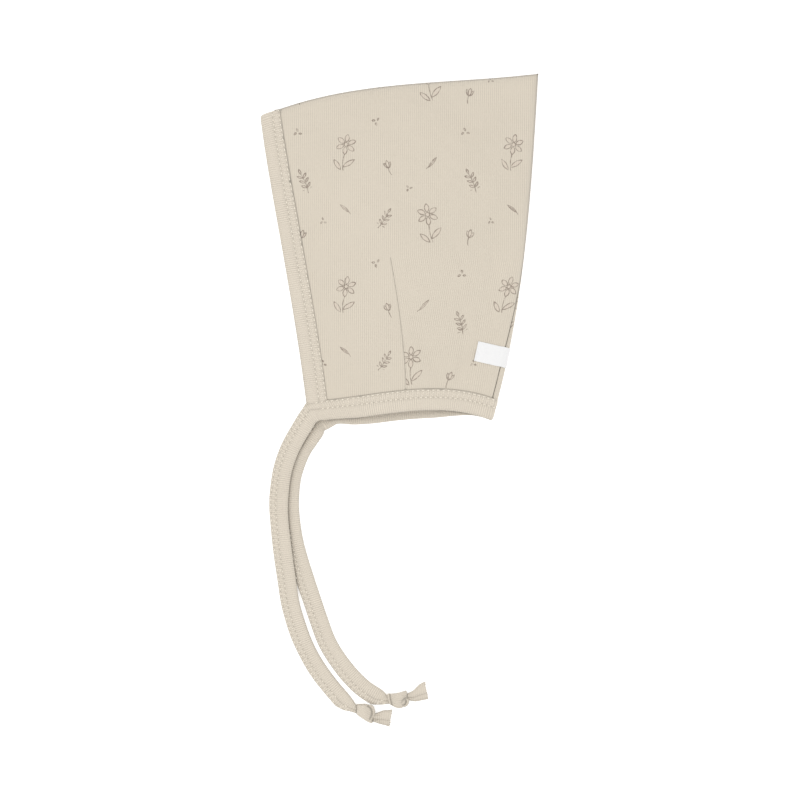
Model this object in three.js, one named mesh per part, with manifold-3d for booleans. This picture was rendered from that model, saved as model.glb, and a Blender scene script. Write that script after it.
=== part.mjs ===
import * as THREE from 'three';
import { mergeVertices } from 'three/addons/utils/BufferGeometryUtils.js';
import Module from 'manifold-3d';

// A baby's pixie bonnet in rib jersey, lying on its right side with both ties drawn down and forward.
// Lengths are millimetres. Z is up from the surface that it lies on, +Y runs up to the crown and +X to
// the back of the head. The origin is the middle of the bonnet's outline, on that surface.

const wasm = await Module();
wasm.setup();

// Cut of one side panel, seen flat from the side.
const faceHeight = 160.3;
const faceLean = 26.2;
const crownDepth = 142.5;
const crownRise = 19.5;
const neckDepth = 93.9;
const frontCorner = new THREE.Vector2(-39.6, -83.4);
const farNeckHang = 4.4;

// Cloth, bindings and the loft of the hollow between the two layers.
const clothWall = 1.3;
const bandThickness = 2.4;
const bandProud = 0.5;
const faceBandWidth = 11;
const neckBandWidth = 11.4;
const clearance = 0.3;
const rollRadius = 4;
const domeHeight = 12;
const domeReach = 55;
const cornerDroop = 3;
const dartDepth = 1.1;
const dartHalfWidth = 2.6;
const seamWrapAngle = THREE.MathUtils.degToRad(72);

// Ties and knots, woven label.
const tieWidth = 10.3;
const tieThickness = 2.2;
const tieRest = tieThickness / 2 + 0.05;
const knotLength = 28.4;
const knotTurnTube = 1.5;
const knotTurnProud = 0.6;
const knotTurnSlant = THREE.MathUtils.degToRad(26);
const knotTurnSides = { round: 8, along: 16 };
const labelReach = 17.8;
const labelHeight = 11.1;
const labelThickness = 0.6;
const labelClearance = 0.4;
const labelTilt = THREE.MathUtils.degToRad(13);

// Bow of each edge away from its straight chord, as shares of the chord. The early share bends
// the third next to an edge's start and the late share the third next to its end.
const edgeBows = {
  crown: { early: 0.069, late: 0.005 },
  back: { early: -0.0453, late: -0.0215 },
  face: { early: -0.0135, late: 0.005 },
  neck: { early: 0.0325, late: 0.13 },
};

// The far layer's neck edge hangs lower than the near one's: this share of the full hang at the front
// corner, all of it past one share along the neck and none of it past another.
const farHang = { atCorner: 0.6, full: 0.3, fading: 0.57, gone: 0.96 };

// How far the loft of the near layer stands at its two open edges, as shares of the full dome, and
// the share of the panel over which it climbs to full height.
const openEdgeLoft = { face: 0.42, neck: 0.4, climb: 0.5, droopReach: 0.4 };

// Shares past which each binding turns into line with the fold at its end.
const foldTurn = { face: 0.8, neck: 0.85 };

// The neck binding turns down towards its tie over this share of the neck before the front corner,
// and on past the corner, under this share of the face binding's end.
const neckTurn = { atCorner: THREE.MathUtils.degToRad(22), reach: 0.22 };
const nearTieTurn = { angle: THREE.MathUtils.degToRad(38.5), past: 1 };
const farTieTurn = { angle: THREE.MathUtils.degToRad(56), past: 0.75 };

// The dart: its foot on the neck seam and its tip, as shares across and up the panel.
const dart = { foot: 0.445, tip: 0.375, top: 0.44 };

// The back seam turns from the silhouette to the near side between these shares up the panel.
const seamTurn = { start: 0.33, end: 0.2 };

// Where the label crosses the back seam, as a share up the panel, and the flat it presses below.
const labelSeat = { up: 0.13, margin: 9, lift: labelThickness + labelClearance };

// Soft folds of the near layer: ends as shares across and up the panel, width as a share of the roll
// radius and depth as a share of the cloth wall.
const softFolds = [
  { fromAcross: 0.29, fromUp: 0.83, toAcross: 0.05, toUp: 0.55, width: 1.3, depth: 0.5 },
  { fromAcross: 0.88, fromUp: 0.6, toAcross: 0.86, toUp: 0.2, width: 1.4, depth: 0.5 },
  { fromAcross: 0.3, fromUp: 0.62, toAcross: 0.27, toUp: 0.34, width: 1.8, depth: 0.4 },
  { fromAcross: 0.5, fromUp: 0.22, toAcross: 0.61, toUp: 0.07, width: 1.3, depth: 0.55 },
  { fromAcross: 0.81, fromUp: 0.12, toAcross: 0.77, toUp: 0.04, width: 1.2, depth: 0.5 },
];

// A knotted tie end, from the strip to its cut edge: place as a share of the knot's length, width
// and thickness as shares of the tie's.
const knotSections = [
  { along: 0, width: 0.94, thickness: 1 },
  { along: 0.13, width: 0.8, thickness: 1.15 },
  { along: 0.24, width: 0.56, thickness: 1.6 },
  { along: 0.33, width: 0.74, thickness: 2.3 },
  { along: 0.43, width: 0.86, thickness: 2.7 },
  { along: 0.54, width: 0.84, thickness: 2.6 },
  { along: 0.63, width: 0.62, thickness: 2 },
  { along: 0.69, width: 0.5, thickness: 1.5 },
  { along: 0.8, width: 0.68, thickness: 1.1 },
  { along: 0.91, width: 0.86, thickness: 0.95 },
  { along: 1, width: 0.96, thickness: 0.9 },
];

// Shares of a knot's length: where its heading has reached the body's, where the turn crosses it,
// where it starts to turn to the tail's and how far that turn takes.
const knotNeck = { first: 0.24, turn: 0.5, middle: 0.52, tail: 0.22 };

// Free routes of the two ties after their first point, which sits on the neck band: x, y and the
// height of the strip's middle. The near tie lies on the far one until they part.
const nearTieRoute = [
  [-57.0, -102.4, 4.6],
  [-61.2, -110.8, 4.0],
  [-64.4, -121.3, 3.9],
  [-65.9, -132.8, 3.9],
  [-66.3, -142.2, 3.9],
  [-65.8, -151.0, 3.9],
  [-64.8, -160.9, 3.9],
  [-63.4, -171.9, 3.9],
  [-61.7, -183.4, 3.4],
  [-60.0, -195.0, 2.2],
  [-57.2, -205.4, 1.4],
  [-53.7, -215.3, tieRest],
  [-49.2, -224.7, tieRest],
  [-44.0, -233.2, tieRest],
  [-37.9, -241.2, tieRest],
  [-31.4, -248.8, tieRest],
];
const farTieRoute = [
  [-45.8, -98.9, tieRest],
  [-49.1, -104.0, tieRest],
  [-53.3, -110.3, tieRest],
  [-56.9, -118.4, tieRest],
  [-59.3, -126.6, tieRest],
  [-60.3, -135.3, tieRest],
  [-60.3, -142.9, tieRest],
  [-59.3, -152.6, tieRest],
  [-57.4, -163.3, tieRest],
  [-54.3, -174.6, tieRest],
  [-51.3, -183.7, tieRest],
  [-48.2, -192.8, tieRest],
  [-44.5, -203.9, tieRest],
  [-39.5, -217.1, tieRest],
  [-33.3, -227.2, tieRest],
  [-26.0, -236.3, tieRest],
  [-18.9, -242.9, tieRest],
  [-12.6, -246.9, tieRest],
];

// Headings of each knot's body and of its flared end, from +X towards +Y.
const nearKnotHeading = { body: THREE.MathUtils.degToRad(-25), tail: THREE.MathUtils.degToRad(-6) };
const farKnotHeading = { body: THREE.MathUtils.degToRad(-3), tail: THREE.MathUtils.degToRad(25) };

// Mesh density.
const columnsToDart = 8;
const columnsFromDart = 12;
const rowsToRoll = 22;
const rollSteps = 6;
const tieSteps = 40;
const bandStepsPastCorner = 3;
const labelStepsInward = 6;
const seatSteps = 8;
const edgeProbe = 0.02;
const bandSection = [
  [0.5, -0.22], [0.5, 0.22], [0.44, 0.5], [-0.44, 0.5],
  [-0.5, 0.22], [-0.5, -0.22], [-0.44, -0.5], [0.44, -0.5],
];

// Corners of a layer whose front corner hangs by the given drop.
function cornersOf(drop) {
  const front = new THREE.Vector2(frontCorner.x, frontCorner.y - drop);
  const nape = new THREE.Vector2(frontCorner.x + neckDepth, frontCorner.y);
  const crown = new THREE.Vector2(frontCorner.x - faceLean, frontCorner.y + faceHeight);
  const peak = new THREE.Vector2(crown.x + crownDepth, crown.y + crownRise);
  return { front, nape, crown, peak };
}

// A chord from start to end, bowed to its left by the two shares in bow. Past its ends it runs on
// straight.
function bowedEdge(start, end, bow, share) {
  const u = THREE.MathUtils.clamp(share, 0, 1);
  const chord = end.clone().sub(start);
  const left = new THREE.Vector2(-chord.y, chord.x);
  const lift = 3 * u * (1 - u) * (bow.early * (1 - u) + bow.late * u);
  return start.clone().addScaledVector(chord, share).addScaledVector(left, lift);
}

function smooth(value) {
  const v = THREE.MathUtils.clamp(value, 0, 1);
  return v * v * (3 - 2 * v);
}

// How far a layer's neck edge hangs at a share along it, for a layer that hangs by depth in full.
function neckHang(depth, share) {
  const fromCorner = farHang.atCorner + (1 - farHang.atCorner) * smooth(share / farHang.full);
  return depth * fromCorner * smooth((farHang.gone - share) / (farHang.gone - farHang.fading));
}

// A layer is its side of the hollow, 1 for the upper, its corners, its four edges in plan and how its
// neck binding turns into the tie.
function makeLayer(side, hang, tieTurn) {
  const corner = cornersOf(neckHang(hang, 0));
  const neckStart = cornersOf(0).front;
  const neck = (share) => {
    const point = bowedEdge(neckStart, corner.nape, edgeBows.neck, share);
    point.y -= neckHang(hang, share);
    return point;
  };
  return {
    side,
    corner,
    neck,
    tieTurn: tieTurn.angle,
    pastCorner: tieTurn.past,
    crown: (share) => bowedEdge(corner.crown, corner.peak, edgeBows.crown, share),
    face: (share) => bowedEdge(corner.front, corner.crown, edgeBows.face, share),
    back: (share) => bowedEdge(corner.nape, corner.peak, edgeBows.back, share),
  };
}

const layers = {
  near: makeLayer(1, 0, nearTieTurn),
  far: makeLayer(-1, farNeckHang, farTieTurn),
};

// The plan of a layer: a patch blended between its four edges.
function planPoint(layer, across, up) {
  const { front, nape, crown, peak } = layer.corner;
  const point = new THREE.Vector2();
  point.addScaledVector(layer.neck(across), 1 - up).addScaledVector(layer.crown(across), up);
  point.addScaledVector(layer.face(up), 1 - across).addScaledVector(layer.back(up), across);
  point.addScaledVector(front, -(1 - across) * (1 - up)).addScaledVector(nape, -across * (1 - up));
  point.addScaledVector(crown, -(1 - across) * up).addScaledVector(peak, -across * up);
  return point;
}

// Angle by which the back seam is turned up on to the near side, at a share up the panel.
function seamWrap(up) {
  return seamWrapAngle * smooth((seamTurn.start - up) / (seamTurn.start - seamTurn.end));
}

// The loft climbs from a seam like the side of a cushion and is level past domeReach.
function climb(distance) {
  const rest = 1 - THREE.MathUtils.clamp(distance / domeReach, 0, 1);
  return 1 - rest * rest;
}

// Share across the panel of the dart's line.
function dartLine(up) {
  const climbed = Math.min(up / dart.top, 1);
  return dart.foot + (dart.tip - dart.foot) * climbed;
}

function dartGroove(across, up, width) {
  const away = Math.abs(across - dartLine(up)) * width;
  const fade = Math.sqrt(THREE.MathUtils.clamp(1 - up / dart.top, 0, 1));
  return dartDepth * fade * Math.max(0, 1 - away / dartHalfWidth);
}

function foldGroove(layer, across, up) {
  const here = planPoint(layer, across, up);
  let depth = 0;
  for (const fold of softFolds) {
    const start = planPoint(layer, fold.fromAcross, fold.fromUp);
    const run = planPoint(layer, fold.toAcross, fold.toUp).sub(start);
    const offset = here.clone().sub(start);
    const along = THREE.MathUtils.clamp(offset.dot(run) / run.lengthSq(), 0, 1);
    const away = offset.addScaledVector(run, -along).length() / (fold.width * rollRadius);
    depth += fold.depth * clothWall * Math.exp(-away * away);
  }
  return depth;
}

// Height that the near layer stands above its roll.
function nearLoft(layer, across, up, width, height) {
  const { face, neck, climb: reach, droopReach } = openEdgeLoft;
  const wrap = seamWrap(up);
  const seamInset = rollRadius * (1 - Math.cos(wrap));
  const fromFace = face + (1 - face) * smooth(across / reach);
  const fromNeck = neck + (1 - neck) * smooth(up / reach);
  const backClimb = climb((1 - across) * width - seamInset);
  const crownClimb = climb((1 - up) * height);
  const dome = domeHeight * backClimb * crownClimb * fromFace * fromNeck;
  const droop = cornerDroop * (1 - smooth(across / droopReach)) * (1 - smooth(up / droopReach));
  const fromRoll = Math.min((1 - across) * width, (1 - up) * height) / rollRadius;
  const grooves = dartGroove(across, up, width) + foldGroove(layer, across, up);
  return dome - droop - grooves * smooth(fromRoll - 1);
}

// Height that the far layer is held off the surface: by the dart's ridge and over the folded label.
function farLift(layer, across, up, width, height) {
  const seat = planPoint(layer, 1, labelSeat.up);
  const offset = planPoint(layer, across, up).sub(seat).rotateAround(new THREE.Vector2(), labelTilt);
  const pastReach = Math.max(-offset.x - labelReach, 0);
  const pastSide = Math.max(Math.abs(offset.y) - labelHeight / 2, 0);
  const away = Math.hypot(pastReach, pastSide) / labelSeat.margin;
  const press = 1 - smooth(away - 1);
  const fromRoll = Math.min((1 - across) * width, (1 - up) * height) / rollRadius;
  return labelSeat.lift * press + dartGroove(across, up, width) * smooth(fromRoll - 1);
}

// A point of a layer at a depth below its outer skin. A place across or up the panel is a share of
// the part before the roll, and then an angle round the roll.
function layerPoint(layer, column, row, depth) {
  const radius = rollRadius - depth;
  const width = layer.back(row.share).distanceTo(layer.face(row.share));
  const height = layer.crown(column.share).distanceTo(layer.neck(column.share));
  const across = placeBeforeEdge(column, width, radius);
  const up = placeBeforeEdge(row, height, radius);
  const plan = planPoint(layer, across, up);
  const turn = Math.cos(column.roll) * Math.cos(row.roll);
  const middle = rollRadius + clearance / 2 + layer.side * clearance / 2;
  const shape = layer.side > 0 ? nearLoft : farLift;
  const relief = shape(layer, across, up, width, height) * (layer.side > 0 ? 1 : Math.max(turn, 0));
  return new THREE.Vector3(plan.x, plan.y, middle + layer.side * radius * turn + relief);
}

function placeBeforeEdge(place, length, radius) {
  if (place.roll === 0) {
    return place.share * (1 - rollRadius / length);
  }
  return 1 - (rollRadius - radius * Math.sin(place.roll)) / length;
}

// Places across a panel at one row, with one column on the dart's line and one on each side of it.
function columnPlaces(layer, row, lastRoll) {
  const width = layer.back(row.share).distanceTo(layer.face(row.share));
  const beforeRoll = 1 - rollRadius / width;
  const line = dartLine(row.share) / beforeRoll;
  const flank = dartHalfWidth / width / beforeRoll;
  const places = [];
  for (let i = 0; i < columnsToDart; i += 1) {
    places.push({ share: (line - flank) * i / columnsToDart, roll: 0 });
  }
  places.push({ share: line - flank, roll: 0 }, { share: line, roll: 0 });
  for (let i = 0; i <= columnsFromDart; i += 1) {
    places.push({ share: line + flank + (1 - line - flank) * i / columnsFromDart, roll: 0 });
  }
  for (let i = 1; i <= rollSteps; i += 1) {
    places.push({ share: 1, roll: lastRoll * i / rollSteps });
  }
  return places;
}

function rowPlaces() {
  const places = [];
  for (let i = 0; i <= rowsToRoll; i += 1) {
    places.push({ share: i / rowsToRoll, roll: 0 });
  }
  for (let i = 1; i <= rollSteps; i += 1) {
    places.push({ share: 1, roll: (Math.PI / 2) * i / rollSteps });
  }
  return places;
}

// A closed body from triangles over a list of points.
function bodyGeometry(points, triangles) {
  const geometry = new THREE.BufferGeometry();
  geometry.setAttribute('position', new THREE.Float32BufferAttribute(points.flatMap((p) => p.toArray()), 3));
  geometry.setIndex(triangles.flat());
  geometry.computeVertexNormals();
  return geometry;
}

// A wall between two grids of points, closed round its four edges. outward is 1 where the outer
// grid's rows and columns turn anticlockwise when seen from outside, and -1 where they turn back.
function wallGeometry(outer, inner, outward) {
  const rows = outer.length;
  const columns = outer[0].length;
  const points = [...outer.flat(), ...inner.flat()];
  const innerStart = rows * columns;
  const triangles = [];
  const quad = (a, b, c, d) => {
    if (outward > 0) {
      triangles.push([a, b, c], [a, c, d]);
    } else {
      triangles.push([c, b, a], [d, c, a]);
    }
  };
  const at = (row, column) => row * columns + column;
  for (let j = 0; j + 1 < rows; j += 1) {
    for (let i = 0; i + 1 < columns; i += 1) {
      const corners = [at(j, i), at(j, i + 1), at(j + 1, i + 1), at(j + 1, i)];
      quad(...corners);
      quad(...corners.map((index) => index + innerStart).reverse());
    }
  }
  const rim = [];
  for (let i = 0; i < columns - 1; i += 1) rim.push(at(0, i));
  for (let j = 0; j < rows - 1; j += 1) rim.push(at(j, columns - 1));
  for (let i = columns - 1; i > 0; i -= 1) rim.push(at(rows - 1, i));
  for (let j = rows - 1; j > 0; j -= 1) rim.push(at(j, 0));
  rim.forEach((index, k) => {
    const next = rim[(k + 1) % rim.length];
    quad(index + innerStart, next + innerStart, next, index);
  });
  return bodyGeometry(points, triangles);
}

function panelGeometry(layer) {
  const outer = [];
  const inner = [];
  for (const row of rowPlaces()) {
    const up = row.roll === 0 ? row.share : 1;
    const lastRoll = Math.PI / 2 - layer.side * seamWrap(up);
    const columns = columnPlaces(layer, row, lastRoll);
    outer.push(columns.map((column) => layerPoint(layer, column, row, 0)));
    inner.push(columns.map((column) => layerPoint(layer, column, row, clothWall)));
  }
  return wallGeometry(outer, inner, layer.side);
}

// A flat strip swept through stations. Each station has its centre, the direction across the strip,
// the outward direction, a width and a thickness. Across, outward and onward are right-handed.
function stripGeometry(stations) {
  const sides = bandSection.length;
  const points = [];
  const triangles = [];
  for (const { centre, across, outward, width, thickness } of stations) {
    for (const [a, n] of bandSection) {
      points.push(centre.clone().addScaledVector(across, a * width).addScaledVector(outward, n * thickness));
    }
  }
  for (let k = 0; k + 1 < stations.length; k += 1) {
    for (let p = 0; p < sides; p += 1) {
      const q = (p + 1) % sides;
      const [a, b, c, d] = [k * sides + p, k * sides + q, (k + 1) * sides + q, (k + 1) * sides + p];
      triangles.push([a, b, c], [a, c, d]);
    }
  }
  const last = (stations.length - 1) * sides;
  for (let p = 1; p + 1 < sides; p += 1) {
    triangles.push([0, p + 1, p], [last, last + p, last + p + 1]);
  }
  return bodyGeometry(points, triangles);
}

// Stations of a binding whose seam edge follows the points in seam, with the direction across it at
// each point. It stands proud of the cloth on the upper side and is flush on the lower one.
function bindingStations(seam, width) {
  return seam.map(({ point, across }, k) => {
    const before = seam[Math.max(k - 1, 0)].point;
    const after = seam[Math.min(k + 1, seam.length - 1)].point;
    const onward = after.clone().sub(before).normalize();
    const outward = new THREE.Vector3().crossVectors(onward, across).normalize();
    const proud = bandProud * (1 + outward.z) / 2;
    const centre = point.clone().addScaledVector(across, clearance + width / 2);
    centre.addScaledVector(outward, proud - bandThickness / 2);
    return { centre, across, outward, width, thickness: bandThickness };
  });
}

function flat(vector2) {
  return new THREE.Vector3(vector2.x, vector2.y, 0).normalize();
}

// Direction out of the face opening at a row: square to the seam, and along the crown's own line
// where the binding folds over the top.
function faceAcross(layer, up) {
  const seamRun = layer.face(up + edgeProbe).sub(layer.face(up - edgeProbe));
  const square = flat(new THREE.Vector2(-seamRun.y, seamRun.x));
  const crownRun = flat(layer.crown(0).sub(layer.crown(edgeProbe)));
  return square.lerp(crownRun, smooth((up - foldTurn.face) / (1 - foldTurn.face))).normalize();
}

function faceBandStations() {
  const rows = rowPlaces();
  const seamAt = (layer, row) => ({
    point: layerPoint(layer, { share: 0, roll: 0 }, row, 0),
    across: faceAcross(layer, row.roll === 0 ? row.share : 1),
  });
  const nearRun = rows.slice(0, -1).map((row) => seamAt(layers.near, row));
  const farRun = rows.slice(0, -1).map((row) => seamAt(layers.far, row)).reverse();
  const fold = seamAt(layers.near, rows[rows.length - 1]);
  fold.point.z = rollRadius + clearance / 2;
  return bindingStations([...nearRun, fold, ...farRun], faceBandWidth);
}

// Direction out of the neck opening: down, along the back edge at the nape fold, and turning towards
// the tie past the front corner.
function neckAcross(layer, across, pastCorner) {
  const middle = THREE.MathUtils.clamp(across, edgeProbe, 1 - edgeProbe);
  const seamRun = layer.neck(middle + edgeProbe).sub(layer.neck(middle - edgeProbe));
  const square = flat(new THREE.Vector2(seamRun.y, -seamRun.x));
  const backRun = flat(layer.back(0).sub(layer.back(edgeProbe)));
  square.lerp(backRun, smooth((across - foldTurn.neck) / (1 - foldTurn.neck))).normalize();
  const turn = neckTurn.atCorner * (1 - smooth(across / neckTurn.reach));
  const extra = (layer.tieTurn - neckTurn.atCorner) * pastCorner;
  return square.applyAxisAngle(new THREE.Vector3(0, 0, 1), turn + extra);
}

function neckBandStations() {
  const base = { share: 0, roll: 0 };
  const seamAt = (layer, column) => {
    const point = layerPoint(layer, column, base, 0);
    return { point, across: neckAcross(layer, column.roll === 0 ? column.share : 1, 0) };
  };
  const pastCornerAt = (layer, past) => {
    const corner = layerPoint(layer, base, base, 0);
    const reach = (faceBandWidth + clearance) * layer.pastCorner * past;
    const point = corner.addScaledVector(faceAcross(layer, 0), reach);
    return { point, across: neckAcross(layer, 0, past) };
  };
  const runOf = (layer) => {
    const columns = columnPlaces(layer, base, Math.PI / 2).slice(0, -1);
    const past = [];
    for (let i = bandStepsPastCorner; i > 0; i -= 1) {
      past.push(pastCornerAt(layer, i / bandStepsPastCorner));
    }
    return [...past, ...columns.map((column) => seamAt(layer, column))];
  };
  const fold = seamAt(layers.near, { share: 1, roll: Math.PI / 2 });
  fold.point.z = rollRadius + clearance / 2;
  return bindingStations([...runOf(layers.far), fold, ...runOf(layers.near).reverse()], neckBandWidth);
}

// Places across and up a layer, before its rolls, that lie over a point of the plan.
function placeOver(layer, target) {
  const width = layer.back(labelSeat.up).distanceTo(layer.face(labelSeat.up));
  const height = layer.crown(1).distanceTo(layer.neck(1));
  let across = 1;
  let up = labelSeat.up;
  for (let i = 0; i < seatSteps; i += 1) {
    const here = planPoint(layer, across, up);
    across += (target.x - here.x) / width;
    up += (target.y - here.y) / height;
  }
  const beforeRoll = (length) => 1 - rollRadius / length;
  const column = { share: across / beforeRoll(width), roll: 0 };
  return { column, row: { share: up / beforeRoll(height), roll: 0 } };
}

// One long edge of the label on the cloth, from its end below, round the roll and in again above.
// shift is how far up the back edge it lies from the label's middle.
function labelRail(shift) {
  const inward = new THREE.Vector2(-Math.cos(labelTilt), Math.sin(labelTilt));
  const run = (layer) => {
    const height = layer.crown(1).distanceTo(layer.neck(1));
    const edge = layer.back(labelSeat.up + shift / height);
    const points = [];
    for (let i = labelStepsInward; i > 0; i -= 1) {
      const reach = rollRadius + (labelReach - rollRadius) * i / labelStepsInward;
      const target = edge.clone().addScaledVector(inward, reach);
      const { column, row } = placeOver(layer, target);
      points.push(layerPoint(layer, column, row, 0));
    }
    const { row } = placeOver(layer, edge);
    for (let i = 0; i <= rollSteps; i += 1) {
      points.push(layerPoint(layer, { share: 1, roll: (Math.PI / 2) * i / rollSteps }, row, 0));
    }
    return points;
  };
  return [...run(layers.far), ...run(layers.near).reverse().slice(1)];
}

// The label is a strip folded round the back edge, a clearance outside the cloth.
function labelGeometry() {
  const lower = labelRail(-labelHeight / 2);
  const upper = labelRail(labelHeight / 2);
  const middle = lower.map((point, k) => point.clone().lerp(upper[k], 0.5));
  const stations = middle.map((point, k) => {
    const before = middle[Math.max(k - 1, 0)];
    const after = middle[Math.min(k + 1, middle.length - 1)];
    const onward = after.clone().sub(before).normalize();
    const across = lower[k].clone().sub(upper[k]).normalize();
    const outward = new THREE.Vector3().crossVectors(onward, across).normalize();
    const centre = point.clone().addScaledVector(outward, labelClearance + labelThickness / 2);
    return { centre, across, outward, width: labelHeight, thickness: labelThickness };
  });
  return stripGeometry(stations);
}

// A route that keeps a flat strip level from side to side: its frames lean only with its slope.
class LevelRoute extends THREE.CatmullRomCurve3 {
  computeFrenetFrames(segments) {
    const frames = { tangents: [], normals: [], binormals: [] };
    for (let i = 0; i <= segments; i += 1) {
      const tangent = this.getTangentAt(i / segments).normalize();
      const sideways = new THREE.Vector3(0, 0, 1).cross(tangent).normalize();
      const normal = tangent.clone().cross(sideways);
      frames.tangents.push(tangent);
      frames.normals.push(normal);
      frames.binormals.push(tangent.clone().cross(normal));
    }
    return frames;
  }
}

// The tie's path starts square on an end of the neck band, which runs on in the direction onward.
function tiePath(bandEnd, onward, route) {
  const level = onward.clone().setZ(0).normalize();
  const start = bandEnd.centre.clone().addScaledVector(level, clearance);
  const lead = start.clone().addScaledVector(level, tieWidth / 4);
  const points = route.map(([x, y, z]) => new THREE.Vector3(x, y, z));
  return new LevelRoute([start, lead, ...points], false, 'centripetal');
}

function tieGeometry(path) {
  const corners = bandSection.map(([a, n]) => new THREE.Vector2(n * tieThickness, a * tieWidth));
  const section = new THREE.Shape(corners);
  return new THREE.ExtrudeGeometry(section, { steps: tieSteps, extrudePath: path, curveSegments: 1 });
}

// The knot's stations are walked one after another along its heading, which turns from the tie's own
// to the body's and then to the tail's. Every station rests on the surface.
function knotStations(start, tieHeading, heading) {
  const spot = start.clone();
  let walked = 0;
  return knotSections.map(({ along, width, thickness }) => {
    const intoBody = (heading.body - tieHeading) * smooth(along / knotNeck.first);
    const intoTail = (heading.tail - heading.body) * smooth((along - knotNeck.middle) / knotNeck.tail);
    const angle = tieHeading + intoBody + intoTail;
    const step = (along - walked) * knotLength;
    walked = along;
    spot.add(new THREE.Vector2(Math.cos(angle), Math.sin(angle)).multiplyScalar(step));
    const deep = thickness * tieThickness;
    return {
      centre: new THREE.Vector3(spot.x, spot.y, deep / 2),
      across: new THREE.Vector3(-Math.sin(angle), Math.cos(angle), 0),
      outward: new THREE.Vector3(0, 0, 1),
      width: width * tieWidth,
      thickness: deep,
    };
  });
}

function toSolid(geometry) {
  const bare = new THREE.BufferGeometry();
  bare.setAttribute('position', geometry.getAttribute('position'));
  bare.setIndex(geometry.getIndex());
  const merged = mergeVertices(bare, 1e-4);
  return new wasm.Manifold(new wasm.Mesh({
    numProp: 3,
    vertProperties: new Float32Array(merged.getAttribute('position').array),
    triVerts: new Uint32Array(merged.getIndex().array),
  }));
}

function fromSolid(solid) {
  const mesh = solid.getMesh();
  const geometry = new THREE.BufferGeometry();
  geometry.setAttribute('position', new THREE.BufferAttribute(new Float32Array(mesh.vertProperties), 3));
  geometry.setIndex(new THREE.BufferAttribute(new Uint32Array(mesh.triVerts), 1));
  geometry.computeVertexNormals();
  return geometry;
}

// An overhand knot with a flared end: a lofted body, and the turn of the strip pulled tight round it.
function knotGeometry(path, heading) {
  const last = path.getPoint(1);
  const tangent = path.getTangent(1);
  const onward = new THREE.Vector2(tangent.x, tangent.y).normalize();
  const start = new THREE.Vector2(last.x, last.y).addScaledVector(onward, clearance);
  const stations = knotStations(start, Math.atan2(onward.y, onward.x), heading);
  const widest = stations[knotSections.findIndex((section) => section.along >= knotNeck.turn)];
  const outerHeight = widest.thickness / 2 + knotTurnProud;
  const { round, along } = knotTurnSides;
  const turn = new THREE.TorusGeometry(outerHeight - knotTurnTube, knotTurnTube, round, along);
  turn.scale(1, (widest.width + 2 * knotTurnProud) / (2 * outerHeight), 1);
  turn.rotateY(Math.PI / 2);
  turn.rotateZ(heading.body + knotTurnSlant);
  turn.translate(widest.centre.x, widest.centre.y, outerHeight);
  return fromSolid(toSolid(stripGeometry(stations)).add(toSolid(turn)));
}

function addMesh(group, name, geometry, colour, roughness) {
  const material = new THREE.MeshStandardMaterial({ color: colour, roughness, metalness: 0 });
  const mesh = new THREE.Mesh(geometry, material);
  mesh.name = name;
  group.add(mesh);
}

const jerseyColour = 0xddd3c2;
const bindingColour = 0xdcd3c4;
const labelColour = 0xf3f2f2;

const bonnet = new THREE.Group();
addMesh(bonnet, 'left_side_panel', panelGeometry(layers.near), jerseyColour, 0.92);
addMesh(bonnet, 'right_side_panel', panelGeometry(layers.far), jerseyColour, 0.92);
addMesh(bonnet, 'face_band', stripGeometry(faceBandStations()), bindingColour, 0.9);
const neckStations = neckBandStations();
addMesh(bonnet, 'neck_band', stripGeometry(neckStations), bindingColour, 0.9);
addMesh(bonnet, 'label', labelGeometry(), labelColour, 0.7);

const [farEnd, nearEnd] = [neckStations[0], neckStations.at(-1)];
const nearPath = tiePath(nearEnd, nearEnd.across.clone().cross(nearEnd.outward), nearTieRoute);
const farPath = tiePath(farEnd, farEnd.outward.clone().cross(farEnd.across), farTieRoute);
addMesh(bonnet, 'left_tie', tieGeometry(nearPath), bindingColour, 0.9);
addMesh(bonnet, 'right_tie', tieGeometry(farPath), bindingColour, 0.9);
addMesh(bonnet, 'left_knot', knotGeometry(nearPath, nearKnotHeading), bindingColour, 0.9);
addMesh(bonnet, 'right_knot', knotGeometry(farPath, farKnotHeading), bindingColour, 0.9);

export default bonnet;
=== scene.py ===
import logging
import math
from dataclasses import astuple, dataclass, replace
from enum import Enum

import bmesh
import bpy
import numpy as np
from mathutils import Matrix, Vector


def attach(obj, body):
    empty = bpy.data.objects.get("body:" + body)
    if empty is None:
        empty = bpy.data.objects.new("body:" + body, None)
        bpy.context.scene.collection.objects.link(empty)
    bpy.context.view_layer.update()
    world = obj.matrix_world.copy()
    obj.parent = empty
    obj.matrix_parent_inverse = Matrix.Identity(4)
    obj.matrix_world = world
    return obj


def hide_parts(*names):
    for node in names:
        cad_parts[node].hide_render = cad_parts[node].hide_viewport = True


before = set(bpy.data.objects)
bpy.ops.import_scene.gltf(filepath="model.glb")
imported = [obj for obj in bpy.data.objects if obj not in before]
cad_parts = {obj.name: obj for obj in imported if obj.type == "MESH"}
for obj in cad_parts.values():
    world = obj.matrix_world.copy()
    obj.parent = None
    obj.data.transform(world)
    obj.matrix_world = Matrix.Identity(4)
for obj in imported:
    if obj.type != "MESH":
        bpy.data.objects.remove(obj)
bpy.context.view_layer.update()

# A baby's pixie bonnet in printed rib jersey, lying on its right side with both ties drawn down.
# Lengths are metres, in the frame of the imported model: Z up from the surface that it lies on, +Y to
# the crown and +X to the back of the head.

log = logging.getLogger("bonnet")

Array = np.ndarray
Socket = bpy.types.NodeSocket
Mesh = bmesh.types.BMesh

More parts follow.
